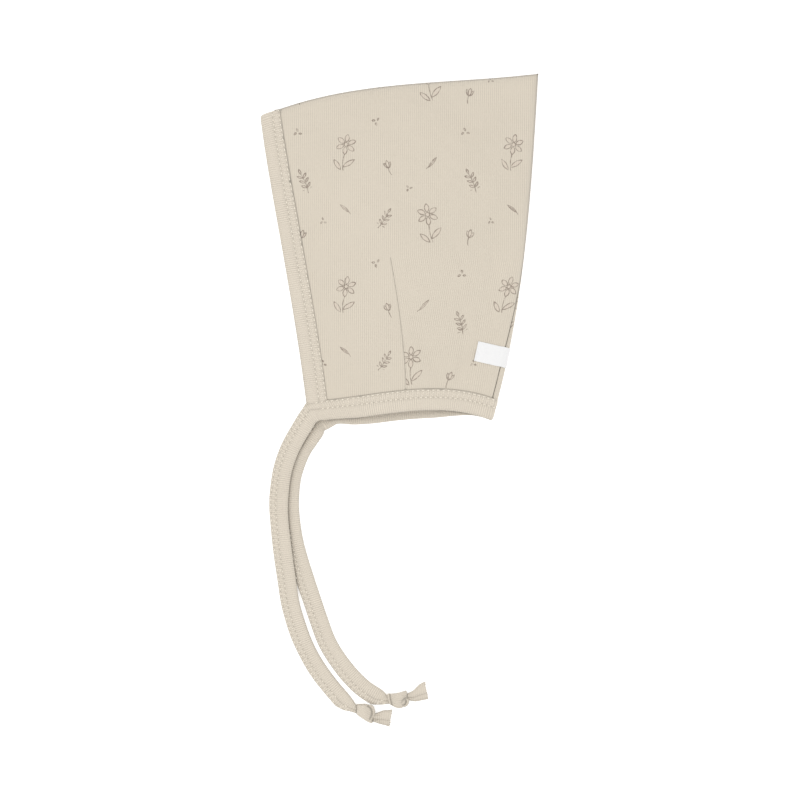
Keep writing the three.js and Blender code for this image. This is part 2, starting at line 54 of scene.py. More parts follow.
CLEARANCE = 0.0003
ROLL_RADIUS = 0.004
FACE_BAND_WIDTH = 0.011
NECK_BAND_WIDTH = 0.0114
BAND_THICKNESS = 0.0024
BAND_PROUD = 0.0005
STITCH_PLACES = (-0.43, -0.10)
TIE_STITCH_PLACES = (0.41, 0.15)
TIE_WIDTH = 0.0103
TIE_THICKNESS = 0.0022
LABEL_UP = 0.13
LABEL_REACH = 0.0178
LABEL_HEIGHT = 0.0111
LABEL_TILT = math.radians(13)
EDGE_PROBE = 0.02
UV_NAME = "cut"
# The crease attribute holds each vertex's distance in millimetres from seams, creases, stitch rows and
# overlying edges; the jersey material paints shade from it, and OPEN_CLOTH is a distance with no painted shade.
CREASE_NAME = "from_crease"
OPEN_CLOTH = 9.0


def smooth(value: Array | float) -> Array:
    """A soft step from 0 to 1, level at both ends.

    Args:
        value: place along the step, clamped to 0 and 1.

    Returns:
        The step's height.
    """
    v = np.clip(value, 0.0, 1.0)
    return v * v * (3.0 - 2.0 * v)


def unit(vectors: Array) -> Array:
    """The same vectors at length 1."""
    return vectors / np.maximum(np.linalg.norm(vectors, axis=-1, keepdims=True), 1e-12)


def turned(vectors: Array, angle: Array | float) -> Array:
    """Plan vectors turned anticlockwise by an angle.

    Args:
        vectors: the plan vectors.
        angle: the turn.

    Returns:
        The turned vectors.
    """
    c, s = np.cos(angle), np.sin(angle)
    x, y = vectors[..., 0], vectors[..., 1]
    return np.stack([x * c - y * s, x * s + y * c], axis=-1)


def raised(vectors: Array, height: Array | float = 0.0) -> Array:
    """Plan vectors with a height added as their third number."""
    z = np.broadcast_to(height, vectors.shape[:-1])
    return np.concatenate([vectors, z[..., None]], axis=-1)


def rumple(x: Array, y: Array, wavelength: float, seed: int) -> Array:
    """Soft uneven waves, as cloth has that was never pressed quite flat.

    Args:
        x: places across.
        y: places up.
        wavelength: the middle wavelength.
        seed: picks one pattern.

    Returns:
        Heights between about -1 and 1.
    """
    rng = np.random.default_rng(seed)
    total = np.zeros(np.broadcast(x, y).shape)
    for _ in range(7):
        heading = rng.uniform(0, 2 * math.pi)
        length = wavelength * rng.uniform(0.6, 1.6)
        phase = rng.uniform(0, 2 * math.pi)
        total = total + np.cos((x * math.cos(heading) + y * math.sin(heading)) * 2 * math.pi / length + phase)
    return total / 3.5


@dataclass(frozen=True)
class EdgeBow:
    """Bow of an edge to the left of its chord, as shares of the chord."""

    early: float
    late: float

    def line(self, start: Array, end: Array, share: Array) -> Array:
        """Points of the bowed edge, which runs on straight past its ends.

        Args:
            start: the edge's first corner.
            end: its last corner.
            share: places along it, 0 at start and 1 at end.

        Returns:
            Plan points.
        """
        share = np.asarray(share, dtype=float)
        u = np.clip(share, 0, 1)
        chord = end - start
        lift = 3 * u * (1 - u) * (self.early * (1 - u) + self.late * u)
        return start + chord * share[..., None] + np.array([-chord[1], chord[0]]) * lift[..., None]


@dataclass(frozen=True)
class SoftFold:
    """A soft groove from one place on the panel to another."""

    start: tuple[float, float]
    end: tuple[float, float]
    width: float
    depth: float


SOFT_FOLDS = (
    SoftFold((0.27, 0.83), (0.06, 0.55), 0.0024, 0.00050),
    SoftFold((0.88, 0.60), (0.86, 0.20), 0.0044, 0.00065),
    SoftFold((0.30, 0.62), (0.27, 0.34), 0.0070, 0.00055),
    SoftFold((0.50, 0.22), (0.61, 0.07), 0.0036, 0.00060),
    SoftFold((0.81, 0.12), (0.77, 0.04), 0.0036, 0.00065),
    SoftFold((0.36, 0.78), (0.47, 0.60), 0.0060, 0.00030),
    SoftFold((0.62, 0.93), (0.80, 0.80), 0.0070, 0.00030),
    SoftFold((0.06, 0.09), (0.26, 0.13), 0.0030, 0.00035),
    SoftFold((0.78, 0.75), (0.93, 0.64), 0.0050, 0.00030),
)


@dataclass
class Place:
    """Places on a layer: shares before the rolls, then an angle and a depth of tuck at each seam."""

    across: Array
    up: Array
    roll_across: Array | float = 0.0
    roll_up: Array | float = 0.0
    tuck_across: Array | float = 0.0
    tuck_up: Array | float = 0.0


@dataclass
class Spot:
    """Places on a layer's flat plan, with the panel's width and height through each of them."""

    across: Array
    up: Array
    width: Array
    height: Array

    @property
    def from_roll(self) -> Array:
        """Distance from the nearer of the rolled seams, in radii of the roll."""
        return np.minimum((1 - self.across) * self.width, (1 - self.up) * self.height) / ROLL_RADIUS


@dataclass
class Layer:
    """One side panel as it lies: its cut, the roll at its seams and its height over the hollow."""

    side: int
    hang: float
    tie_turn: float
    past_corner: float
    flare: float = 0.0
    face_height: float = 0.1603
    face_lean: float = 0.0262
    crown_depth: float = 0.1425
    crown_rise: float = 0.0195
    neck_depth: float = 0.0939
    front_corner: tuple[float, float] = (-0.0396, -0.0834)
    dome_height: float = 0.012
    dome_reach: float = 0.055
    loft_by_face: float = 0.42
    loft_by_neck: float = 0.4
    corner_droop: float = 0.003
    ripple_hub: tuple[float, float] = (-0.038, -0.045)
    ripple_spacing: float = 0.0078
    ripple_height: float = 0.00015
    uneven_lie: float = 0.00016
    pucker_height: float = 0.00013
    pucker_reach: float = 0.0035
    label_pad: float = 0.001
    label_margin: float = 0.009
    lower_lie: float = 0.00006
    dart_foot: float = 0.464
    dart_tip: float = 0.386
    dart_top: float = 0.45
    dart_depth: float = 0.0004
    dart_half_width: float = 0.0018
    seam_wrap: float = math.radians(74)
    crown_bow: EdgeBow = EdgeBow(0.069, 0.005)
    back_bow: EdgeBow = EdgeBow(-0.0453, -0.0215)
    face_bow: EdgeBow = EdgeBow(-0.0135, 0.005)
    neck_bow: EdgeBow = EdgeBow(0.0325, 0.13)

    def __post_init__(self) -> None:
        """Works out the four corners of the cut."""
        corner = np.array(self.front_corner)
        self.neck_start = corner
        self.front = corner - np.array([0.0, float(self.neck_hang(0.0))])
        self.nape = corner + np.array([self.neck_depth, 0.0])
        self.crown_front = corner + np.array([-self.face_lean, self.face_height])
        self.peak = self.crown_front + np.array([self.crown_depth, self.crown_rise])

    def neck_hang(self, share: Array | float) -> Array:
        """How far the neck edge hangs below the upper layer's, at shares along it."""
        from_corner = 0.6 + 0.4 * smooth(np.asarray(share) / 0.3)
        return self.hang * from_corner * smooth((0.96 - np.asarray(share)) / 0.39)

    def neck(self, share: Array) -> Array:
        """Plan points of the neck edge, from the front corner to the nape.

        Args:
            share: places along it.

        Returns:
            Plan points.
        """
        points = self.neck_bow.line(self.neck_start, self.nape, share)
        points[..., 1] -= self.neck_hang(share)
        return points

    def crown(self, share: Array) -> Array:
        """Plan points of the crown seam, from the face to the peak."""
        return self.crown_bow.line(self.crown_front, self.peak, share)

    def face(self, share: Array) -> Array:
        """Plan points of the face seam, from the neck to the crown."""
        return self.face_bow.line(self.front, self.crown_front, share)

    def back(self, share: Array) -> Array:
        """Plan points of the back edge, from the nape to the peak."""
        return self.back_bow.line(self.nape, self.peak, share)

    def width(self, up: Array) -> Array:
        """The panel's width at shares up it."""
        return np.linalg.norm(self.back(up) - self.face(up), axis=-1)

    def height(self, across: Array) -> Array:
        """The panel's height at shares across it."""
        return np.linalg.norm(self.crown(across) - self.neck(across), axis=-1)

    def plan(self, across: Array, up: Array) -> Array:
        """Points of the patch blended between the four edges.

        Args:
            across: shares across.
            up: shares up.

        Returns:
            Plan points.
        """
        a, u = np.asarray(across, float)[..., None], np.asarray(up, float)[..., None]
        ruled = self.neck(a[..., 0]) * (1 - u) + self.crown(a[..., 0]) * u
        ruled = ruled + self.face(u[..., 0]) * (1 - a) + self.back(u[..., 0]) * a
        low = self.front * (1 - a) + self.nape * a
        high = self.crown_front * (1 - a) + self.peak * a
        return ruled - low * (1 - u) - high * u

    def dart_line(self, up: Array) -> Array:
        """Share across the panel of the dart's line."""
        climbed = np.clip(np.asarray(up) / self.dart_top, 0, 1)
        return self.dart_foot + (self.dart_tip - self.dart_foot) * climbed

    def dart_away(self, across: Array, up: Array, width: Array) -> Array:
        """Distance from the dart's line, signed, positive towards the back of the head."""
        return (across - self.dart_line(up)) * width

    def dart_fade(self, up: Array) -> Array:
        """The dart's strength, 1 at the neck seam and 0 past its tip."""
        return np.sqrt(np.clip(1 - up / self.dart_top, 0, 1))

    def dart_groove(self, at: Spot) -> Array:
        """Depth of the sewn groove of the dart."""
        away = np.abs(self.dart_away(at.across, at.up, at.width)) / self.dart_half_width
        return self.dart_depth * self.dart_fade(at.up) * np.clip(1 - away, 0, 1) ** 1.5

    def folds(self, at: Spot) -> Array:
        """Depth of the soft folds.

        Args:
            at: where on the layer.

        Returns:
            Depths.
        """
        here = self.plan(at.across, at.up)
        depth = np.zeros(here.shape[:-1])
        for fold in SOFT_FOLDS:
            start = self.plan(np.array(fold.start[0]), np.array(fold.start[1]))
            run = self.plan(np.array(fold.end[0]), np.array(fold.end[1])) - start
            offset = here - start
            along = np.clip((offset @ run) / (run @ run), 0, 1)
            away = np.linalg.norm(offset - along[..., None] * run, axis=-1) / fold.width
            depth = depth + fold.depth * np.exp(-away * away)
        return depth

    def ripples(self, at: Spot) -> Array:
        """Low waves that swing round the dart over the back of the panel, and an uneven lie.

        Args:
            at: where on the layer.

        Returns:
            Heights.
        """
        here = self.plan(at.across, at.up)
        x, y = here[..., 0], here[..., 1]
        from_hub = np.hypot(x - self.ripple_hub[0], y - self.ripple_hub[1])
        sway = rumple(x, y, 0.05, 3) * 0.0018
        waves = np.cos((from_hub + sway) * 2 * math.pi / self.ripple_spacing)
        patchy = np.clip(0.6 + 0.6 * rumple(x, y, 0.045, 5), 0, 1.2)
        reach = smooth((from_hub - 0.045) / 0.03) * smooth((0.97 - at.across) / 0.12)
        return waves * patchy * reach * self.ripple_height + rumple(x, y, 0.024, 11) * self.uneven_lie

    def puckers(self, at: Spot) -> Array:
        """Small gathers that the bindings' stitches draw into the cloth beside them.

        Args:
            at: where on the layer.

        Returns:
            Heights.
        """
        here = self.plan(at.across, at.up)
        by_face = np.exp(-np.clip(at.across * at.width, 0, 1) / self.pucker_reach)
        by_neck = np.exp(-np.clip(at.up * at.height, 0, 1) / self.pucker_reach)
        wave = rumple(here[..., 1], here[..., 1] * 0.0, 0.0048, 17) * by_face
        return (wave + rumple(here[..., 0], here[..., 0] * 0.0, 0.0045, 19) * by_neck) * self.pucker_height

    def wrap(self, up: Array) -> Array:
        """Angle by which the back seam is turned up on to the upper side."""
        return self.seam_wrap * smooth((0.6 - np.asarray(up)) / 0.55)

    def climb(self, distance: Array) -> Array:
        """Share of the full loft at a distance from a seam."""
        return 1 - (1 - np.clip(distance / self.dome_reach, 0, 1)) ** 2

    def dome(self, at: Spot) -> Array:
        """Height of the upper layer above its roll, before its folds and ripples.

        Args:
            at: where on the layer.

        Returns:
            Heights.
        """
        inset = ROLL_RADIUS * (1 - np.cos(self.wrap(at.up)))
        from_back = self.climb((1 - at.across) * at.width - inset)
        dome = self.dome_height * from_back * self.climb((1 - at.up) * at.height)
        by_face = self.loft_by_face + (1 - self.loft_by_face) * smooth(at.across / 0.5)
        by_neck = self.loft_by_neck + (1 - self.loft_by_neck) * smooth(at.up / 0.5)
        droop = self.corner_droop * (1 - smooth(at.across / 0.4)) * (1 - smooth(at.up / 0.4))
        return dome * by_face * by_neck - droop

    def relief(self, at: Spot) -> Array:
        """Height of the upper layer's ripples, gathers, dart and folds.

        Args:
            at: where on the layer.

        Returns:
            Heights.
        """
        raised_by = self.ripples(at) + self.puckers(at)
        return (raised_by - self.dart_groove(at) - self.folds(at)) * smooth(at.from_roll - 0.6)

    def lower_lift(self, at: Spot) -> Array:
        """Height that the lower layer is held off the surface, by the dart's ridge and the label.

        Args:
            at: where on the layer.

        Returns:
            Heights.
        """
        label = self.plan(np.array(1.0), np.array(LABEL_UP))
        offset = turned(self.plan(at.across, at.up) - label, LABEL_TILT)
        past_reach = np.maximum(-offset[..., 0] - LABEL_REACH, 0)
        past_side = np.maximum(np.abs(offset[..., 1]) - LABEL_HEIGHT / 2, 0)
        press = 1 - smooth(np.hypot(past_reach, past_side) / self.label_margin - 1)
        lie = (1.2 + rumple(at.across * at.width, at.up * at.height, 0.03, 23)) * self.lower_lie
        return self.label_pad * press + (self.dart_groove(at) + lie) * smooth(at.from_roll - 1)

    def surface(self, place: Place, plain: bool = False) -> Array:
        """Points of the layer's outer skin.

        Args:
            place: where on the layer.
            plain: leaves out ripples, gathers, dart and folds, as under a stitched binding.

        Returns:
            Points in the row frame.
        """
        width, height = self.width(place.up), self.height(place.across)
        across = self._before_edge(place.across, place.roll_across, place.tuck_across, width)
        up = self._before_edge(place.up, place.roll_up, place.tuck_up, height)
        turn = np.cos(place.roll_across) * np.cos(place.roll_up)
        tuck = np.maximum(place.tuck_across, place.tuck_up)
        middle = ROLL_RADIUS + CLEARANCE / 2 + self.side * CLEARANCE / 2
        at = Spot(across, up, width, height)
        if self.side > 0:
            loft = self.dome(at) if plain else self.dome(at) + self.relief(at)
        else:
            loft = self.lower_lift(at) * np.maximum(turn, 0) * (0.0 if plain else 1.0)
        level = middle + self.side * (ROLL_RADIUS - tuck) * turn + loft
        return raised(self.plan(across, up), level)

    @staticmethod
    def _before_edge(share: Array, roll: Array, tuck: Array, length: Array) -> Array:
        """Share of the flat plan that lies under a place on the roll.

        Args:
            share: share before the roll.
            roll: angle round it.
            tuck: depth of tuck.
            length: the panel's length that way.

        Returns:
            Shares of the flat plan.
        """
        flat = share * (1 - ROLL_RADIUS / length)
        rolled = 1 - (ROLL_RADIUS - (ROLL_RADIUS - tuck) * np.sin(roll)) / length
        return np.where(np.asarray(roll) > 0, rolled, flat)


UPPER = Layer(side=1, hang=0.0, tie_turn=math.radians(31), past_corner=1.0, flare=0.02)
LOWER = Layer(side=-1, hang=0.0044, tie_turn=math.radians(30), past_corner=0.75, flare=0.27)
CORNER_TURN = math.radians(22)


class Slot(Enum):
    """The record's material slots."""

    JERSEY = "rib_jersey"
    BINDING = "binding"
    LABEL = "woven_label"


class Nodes:
    """Short ways to add nodes to one tree."""

    def __init__(self, tree: bpy.types.NodeTree) -> None:
        """Keeps the tree that the nodes go into."""
        self.tree = tree
        self.count = 0

    def add(self, kind: str, **settings: object) -> bpy.types.Node:
        """Adds a node with some of its properties set.

        Args:
            kind: Blender's name for the node.
            settings: its properties.

        Returns:
            The node.
        """
        node = self.tree.nodes.new(kind)
        node.location = (self.count % 24 * 190, -(self.count // 24) * 260)
        self.count += 1
        for name, value in settings.items():
            setattr(node, name, value)
        return node

    def feed(self, node: bpy.types.Node, socket: int | str, value: object) -> None:
        """Links a socket to an input, or sets the input's own value.

        Args:
            node: the node.
            socket: its input.
            value: a socket, or a plain value.
        """
        if isinstance(value, Socket):
            self.tree.links.new(value, node.inputs[socket])
        else:
            node.inputs[socket].default_value = value

    def math(self, operation: str, *values: object, clamp: bool = False) -> Socket:
        """A Math node on sockets or numbers.

        Args:
            operation: Blender's name for it.
            values: what goes in.
            clamp: keeps the result from 0 to 1.

        Returns:
            The result.
        """
        node = self.add("ShaderNodeMath", operation=operation, use_clamp=clamp)
        for k, value in enumerate(values):
            self.feed(node, k, value)
        return node.outputs[0]

    def vector(self, operation: str, *values: object) -> Socket:
        """A Vector Math node on sockets or triples.

        Args:
            operation: Blender's name for it.
            values: what goes in.

        Returns:
            The result.
        """
        node = self.add("ShaderNodeVectorMath", operation=operation)
        for k, value in enumerate(values):
            self.feed(node, k, value)
        return node.outputs["Value" if operation == "LENGTH" else "Vector"]

    def noise(self, vector: object, scale: float, detail: float = 2.0, rough: float = 0.5) -> bpy.types.Node:
        """A Noise Texture node.

        Args:
            vector: the place.
            scale: grains in a metre.
            detail: finer layers.
            rough: strength of those.

        Returns:
            The node.
        """
        node = self.add("ShaderNodeTexNoise")
        for name, value in (("Vector", vector), ("Scale", scale), ("Detail", detail), ("Roughness", rough)):
            self.feed(node, name, value)
        return node

    def ramp(self, value: object, low: float, high: float, to_low: float = 0.0, to_high: float = 1.0,
             soft: bool = True) -> Socket:
        """A Map Range node, with a soft step unless soft is False.

        Args:
            value: what is mapped.
            low: start of its range.
            high: end of its range.
            to_low: result at the start.
            to_high: result at the end.
            soft: eases both ends.

        Returns:
            The result.
        """
        node = self.add("ShaderNodeMapRange", interpolation_type="SMOOTHSTEP" if soft else "LINEAR")
        for k, number in enumerate((value, low, high, to_low, to_high)):
            self.feed(node, k, number)
        return node.outputs["Result"]

    def mix(self, factor: object, first: object, second: object, blend: str = "MIX") -> Socket:
        """A colour Mix node.

        Args:
            factor: share of the second.
            first: a colour.
            second: another.
            blend: Blender's name for the way.

        Returns:
            The colour.
        """
        node = self.add("ShaderNodeMix", data_type="RGBA", blend_type=blend)
        self.feed(node, 0, factor)
        self.feed(node, 6, first)
        self.feed(node, 7, second)
        return node.outputs[2]

    def scaled(self, colour: object, factor: Socket) -> Socket:
        """A colour, socket or triple, made lighter or darker by a factor.

        Args:
            colour: the colour.
            factor: what it is multiplied by.

        Returns:
            The colour.
        """
        node = self.add("ShaderNodeVectorMath", operation="SCALE")
        self.feed(node, 0, colour)
        self.feed(node, "Scale", factor)
        return node.outputs["Vector"]

    def split(self, vector: object) -> tuple[Socket, Socket]:
        """The X and Y of a vector.

        Args:
            vector: the vector.

        Returns:
            X and Y.
        """
        node = self.add("ShaderNodeSeparateXYZ")
        self.feed(node, 0, vector)
        return node.outputs[0], node.outputs[1]

    def join(self, x: object, y: object) -> Socket:
        """A flat vector from X and Y.

        Args:
            x: its X.
            y: its Y.

        Returns:
            The vector.
        """
        node = self.add("ShaderNodeCombineXYZ")
        self.feed(node, 0, x)
        self.feed(node, 1, y)
        return node.outputs[0]

    def local(self, vector: object, place: tuple[float, float], turn: float,
              size: float = 1.0) -> Socket:
        """The vector in the frame of a shape that stands at place, turned and scaled.

        Args:
            vector: the place.
            place: the shape's middle.
            turn: its turn.
            size: its scale.

        Returns:
            The place in the shape's frame.
        """
        node = self.add("ShaderNodeMapping", vector_type="TEXTURE")
        self.feed(node, "Vector", vector)
        self.feed(node, "Location", (place[0], place[1], 0.0))
        self.feed(node, "Rotation", (0.0, 0.0, turn))
        self.feed(node, "Scale", (size, size, size))
        return node.outputs[0]

    def bump(self, shader: bpy.types.Node, height: object, strength: float, depth: float) -> None:
        """Gives a shader a low relief.

        Args:
            shader: the shader.
            height: the relief's height.
            strength: its strength.
            depth: its depth in metres.
        """
        node = self.add("ShaderNodeBump")
        for name, value in (("Strength", strength), ("Distance", depth), ("Height", height)):
            self.feed(node, name, value)
        self.feed(shader, "Normal", node.outputs[0])


class Group:
    """A shader node group with named inputs and outputs."""

    def __init__(self, name: str, inputs: dict[str, object], outputs: tuple[str, ...]) -> None:
        """Makes the empty group.

        Args:
            name: the group's name.
            inputs: each input's name and default; a triple makes a vector socket.
            outputs: names of the outputs, all floats.
        """
        self.tree = bpy.data.node_groups.new(name, "ShaderNodeTree")
        for label, default in inputs.items():
            kind = "NodeSocketVector" if isinstance(default, tuple) else "NodeSocketFloat"
            socket = self.tree.interface.new_socket(name=label, in_out="INPUT", socket_type=kind)
            socket.default_value = default
        for label in outputs:
            self.tree.interface.new_socket(name=label, in_out="OUTPUT", socket_type="NodeSocketFloat")
        self.nodes = Nodes(self.tree)
        self.given = self.nodes.add("NodeGroupInput").outputs
        self.out = self.nodes.add("NodeGroupOutput")

    def give(self, **results: object) -> None:
        """Links results to the outputs of the same names."""
        for label, value in results.items():
            self.nodes.feed(self.out, label, value)

    def place(self, nodes: Nodes, **values: object) -> bpy.types.bpy_prop_collection:
        """Puts the group into a tree.

        Args:
            nodes: the tree's nodes.
            values: what its inputs get.

        Returns:
            Its outputs.
        """
        node = nodes.add("ShaderNodeGroup", node_tree=self.tree)
        for label, value in values.items():
            nodes.feed(node, label, value)
        return node.outputs


class RibKnit(Group):
    """Fine rib jersey: wales that run along Y, with the slanted loops of the knit on each."""

    def __init__(self) -> None:
        """Builds the group: Height, and Shade, a painted shade of the valleys between wales and loops, from a
        place in metres.
        """
        inputs = {"Vector": (0.0, 0.0, 0.0), "Wale": 0.0011, "Course": 0.0008}
        super().__init__("rib_knit", inputs, ("Height", "Shade"))
        n, given = self.nodes, self.given
        drift = n.noise(given["Vector"], 90.0, 2.0).outputs["Color"]
        moved = n.vector("MULTIPLY_ADD", drift, (0.0006, 0.0006, 0.0), given["Vector"])
        x, y = n.split(moved)
        wale = n.math("DIVIDE", x, given["Wale"])
        half = n.math("PINGPONG", wale, 0.5)
        rib = n.ramp(half, 0.02, 0.46)
        slant = n.math("MULTIPLY", half, 1.1)
        course = n.math("ADD", n.math("DIVIDE", y, given["Course"]), slant)
        loop = n.ramp(n.math("PINGPONG", course, 0.5), 0.0, 0.5)
        fuzz = n.noise(given["Vector"], 5200.0, 2.0, 0.7).outputs["Fac"]
        height = n.math("MULTIPLY_ADD", loop, 0.28, n.math("MULTIPLY", rib, 0.72))
        height = n.math("MULTIPLY_ADD", fuzz, 0.22, height)
        shade = n.math("MULTIPLY_ADD", loop, 0.3, n.math("MULTIPLY", rib, 0.7))
        # Patches where the painted shade of the valleys is stronger or weaker.
        print_wear_and_rib_shade_patches = n.noise(n.vector("MULTIPLY", given["Vector"], (1.0, 0.6, 1.0)), 110.0, 3.0, 0.6).outputs["Fac"]
        clear = n.ramp(print_wear_and_rib_shade_patches, 0.38, 0.62, 0.18, 1.0)
        self.give(Height=height, Shade=n.math("MULTIPLY_ADD", n.math("SUBTRACT", shade, 0.55), clear, 0.55))


class ClothTone(Group):
    """Uneven tone of undyed cotton: broad clouds, and flecks along the yarn."""

    def __init__(self) -> None:
        """Builds the group: Tone around 1 from a place in metres."""
        super().__init__("cloth_tone", {"Vector": (0.0, 0.0, 0.0), "Cloud": 0.03, "Fleck": 0.03}, ("Tone",))
        n, given = self.nodes, self.given
        cloud = n.noise(given["Vector"], 26.0, 3.0).outputs["Fac"]
        stretched = n.vector("MULTIPLY", given["Vector"], (1.0, 0.35, 1.0))
        fleck = n.noise(stretched, 1500.0, 2.0, 0.65).outputs["Fac"]
        tone = n.math("MULTIPLY_ADD", n.math("SUBTRACT", cloud, 0.5), given["Cloud"], 1.0)
        self.give(Tone=n.math("MULTIPLY_ADD", n.math("SUBTRACT", fleck, 0.5), given["Fleck"], tone))


class Drawing(Group):
    """A small line drawing: the distance to its lines, and to its insides."""

    def __init__(self, name: str) -> None:
        """Starts an empty drawing at the origin, upright along Y.

        Args:
            name: the group's name.
        """
        super().__init__(name, {"Vector": (0.0, 0.0, 0.0)}, ("Line", "Inside"))
        self.vector = self.given["Vector"]
        self.line: object = 1.0
        self.inside: object = 1.0

    def petal(self, place: tuple[float, float], turn: float, length: float, width: float,
              vector: object = None) -> None:
        """Adds a pointed oval in front of what is drawn already.

        Args:
            place: its middle.
            turn: its lean from upright, in degrees.
            length: from tip to tip.
            width: at its middle.
            vector: the place in the drawing's frame, where it isn't the drawing's own.
        """
        n = self.nodes
        half, wide = length / 2, width / 2
        offset = (half * half - wide * wide) / (2 * wide)
        here = n.local(self.vector if vector is None else vector, place, math.radians(turn))
        here = n.vector("ADD", n.vector("ABSOLUTE", here), (offset, 0.0, 0.0))
        self._cover(n.math("SUBTRACT", n.vector("LENGTH", here), offset + wide))

    def dot(self, place: tuple[float, float], radius: float) -> None:
        """Adds a small round seed."""
        here = self.nodes.local(self.vector, place, 0.0)
        self._cover(self.nodes.math("SUBTRACT", self.nodes.vector("LENGTH", here), radius))

    def stem(self, centre: tuple[float, float], radius: float, low: float, high: float) -> None:
        """Adds an arc of a circle between two heights, on the side towards the drawing's axis.

        Args:
            centre: the circle's middle.
            radius: the circle's radius.
            low: lowest height.
            high: greatest height.
        """
        n = self.nodes
        ring = n.math("SUBTRACT", n.vector("LENGTH", n.local(self.vector, centre, 0.0)), radius)
        x, y = n.split(self.vector)
        from_middle = n.math("ABSOLUTE", n.math("SUBTRACT", y, (low + high) / 2))
        beyond = n.math("SUBTRACT", from_middle, (high - low) / 2)
        side = n.math("MULTIPLY", n.math("SUBTRACT", x, centre[0]), 1.0 if centre[0] > 0 else -1.0)
        away = n.math("MAXIMUM", n.math("MAXIMUM", n.math("ABSOLUTE", ring), beyond), side)
        self.line = n.math("MINIMUM", away, self.line)

    def _cover(self, distance: Socket) -> None:
        """Draws an outline from a signed distance, and hides the lines behind it.

        Args:
            distance: distance, negative inside.
        """
        n = self.nodes
        behind = n.math("MAXIMUM", self.line, n.math("MULTIPLY", distance, -1.0))
        self.line = n.math("MINIMUM", behind, n.math("ABSOLUTE", distance))
        self.inside = n.math("MINIMUM", self.inside, distance)

    def done(self) -> "Drawing":
        """Links the outputs and returns the drawing."""
        self.give(Line=self.line, Inside=self.inside)
        return self


class OpenFlower(Drawing):
    """An open flower with six petals round a seeded middle, on a stem with two leaves."""

    def __init__(self) -> None:
        """Draws it 20 mm tall."""
        super().__init__("open_flower")
        self.stem((0.021, -0.004), 0.0212, -0.0105, 0.0015)
        self.petal((0.0034, -0.0062), -48, 0.0078, 0.0024)
        self.petal((-0.0031, -0.0080), 42, 0.0070, 0.0022)
        n = self.nodes
        x, y = n.split(n.local(self.vector, (0.0, 0.0045), 0.0))
        far = n.vector("LENGTH", n.join(x, y))
        angle = n.math("WRAP", n.math("ARCTAN2", x, y), math.pi / 6, -math.pi / 6)
        aside, onward = (n.math("MULTIPLY", far, n.math(way, angle)) for way in ("SINE", "COSINE"))
        self.petal((0.0, 0.0036), 0, 0.0046, 0.0024, n.join(aside, onward))
        self.dot((0.0, 0.0045), 0.0011)
        self.done()


class LeafSpray(Drawing):
    """A thin spray with pairs of small leaves up its stem."""

    def __init__(self) -> None:
        """Draws it 13 mm tall."""
        super().__init__("leaf_spray")
        n = self.nodes
        self.stem((-0.030, 0.0), 0.030, -0.0065, 0.0050)
        x, y = n.split(self.vector)
        bent = n.math("MULTIPLY_ADD", n.math("MULTIPLY", y, y), 16.0, x)
        row = n.math("WRAP", y, 0.0014, -0.0014)
        pair = n.join(n.math("ABSOLUTE", bent), row)
        inside = n.math("SUBTRACT", n.math("ABSOLUTE", n.math("ADD", y, 0.0002)), 0.0042)
        before = self.line
        self.line = 1.0
        self.petal((0.0014, 0.0002), -48, 0.0030, 0.0010, pair)
        self.line = n.math("MINIMUM", n.math("MAXIMUM", self.line, inside), before)
        self.inside = n.math("MAXIMUM", self.inside, inside)
        self.petal((-0.0004, 0.0058), 2, 0.0030, 0.0010)
        self.done()


class SeedPod(Drawing):
    """A closed bud on a short stem, with three seeds beside it."""

    def __init__(self) -> None:
        """Draws it 8 mm tall."""
        super().__init__("seed_pod")
        self.stem((0.010, -0.001), 0.0101, -0.0042, 0.0002)
        self.petal((0.0012, 0.0016), -28, 0.0036, 0.0013)
        self.petal((-0.0010, 0.0017), 26, 0.0036, 0.0013)
        self.petal((0.0001, 0.0022), 0, 0.0044, 0.0018)
        self.done()


class Seeds(Drawing):
    """Three loose seeds."""

    def __init__(self) -> None:
        """Draws them within 4 mm."""
        super().__init__("seeds")
        self.petal((0.0, 0.0013), 20, 0.0016, 0.0008)
        self.petal((-0.0015, -0.0006), -60, 0.0015, 0.0008)
        self.petal((0.0014, -0.0010), 75, 0.0015, 0.0007)
        self.done()


class Curl(Drawing):
    """One long narrow leaf with its midrib."""

    def __init__(self) -> None:
        """Draws it 11 mm tall."""
        super().__init__("long_leaf")
        self.petal((0.0, 0.0), 0, 0.0085, 0.0017)
        self.stem((-0.020, -0.001), 0.0200, -0.0058, 0.0030)
        self.done()


@dataclass(frozen=True)
class PrintPlace:
    """Where one drawing stands in the repeat of the print."""

    drawing: str
    x: float
    y: float
    turn: float
    size: float = 1.0


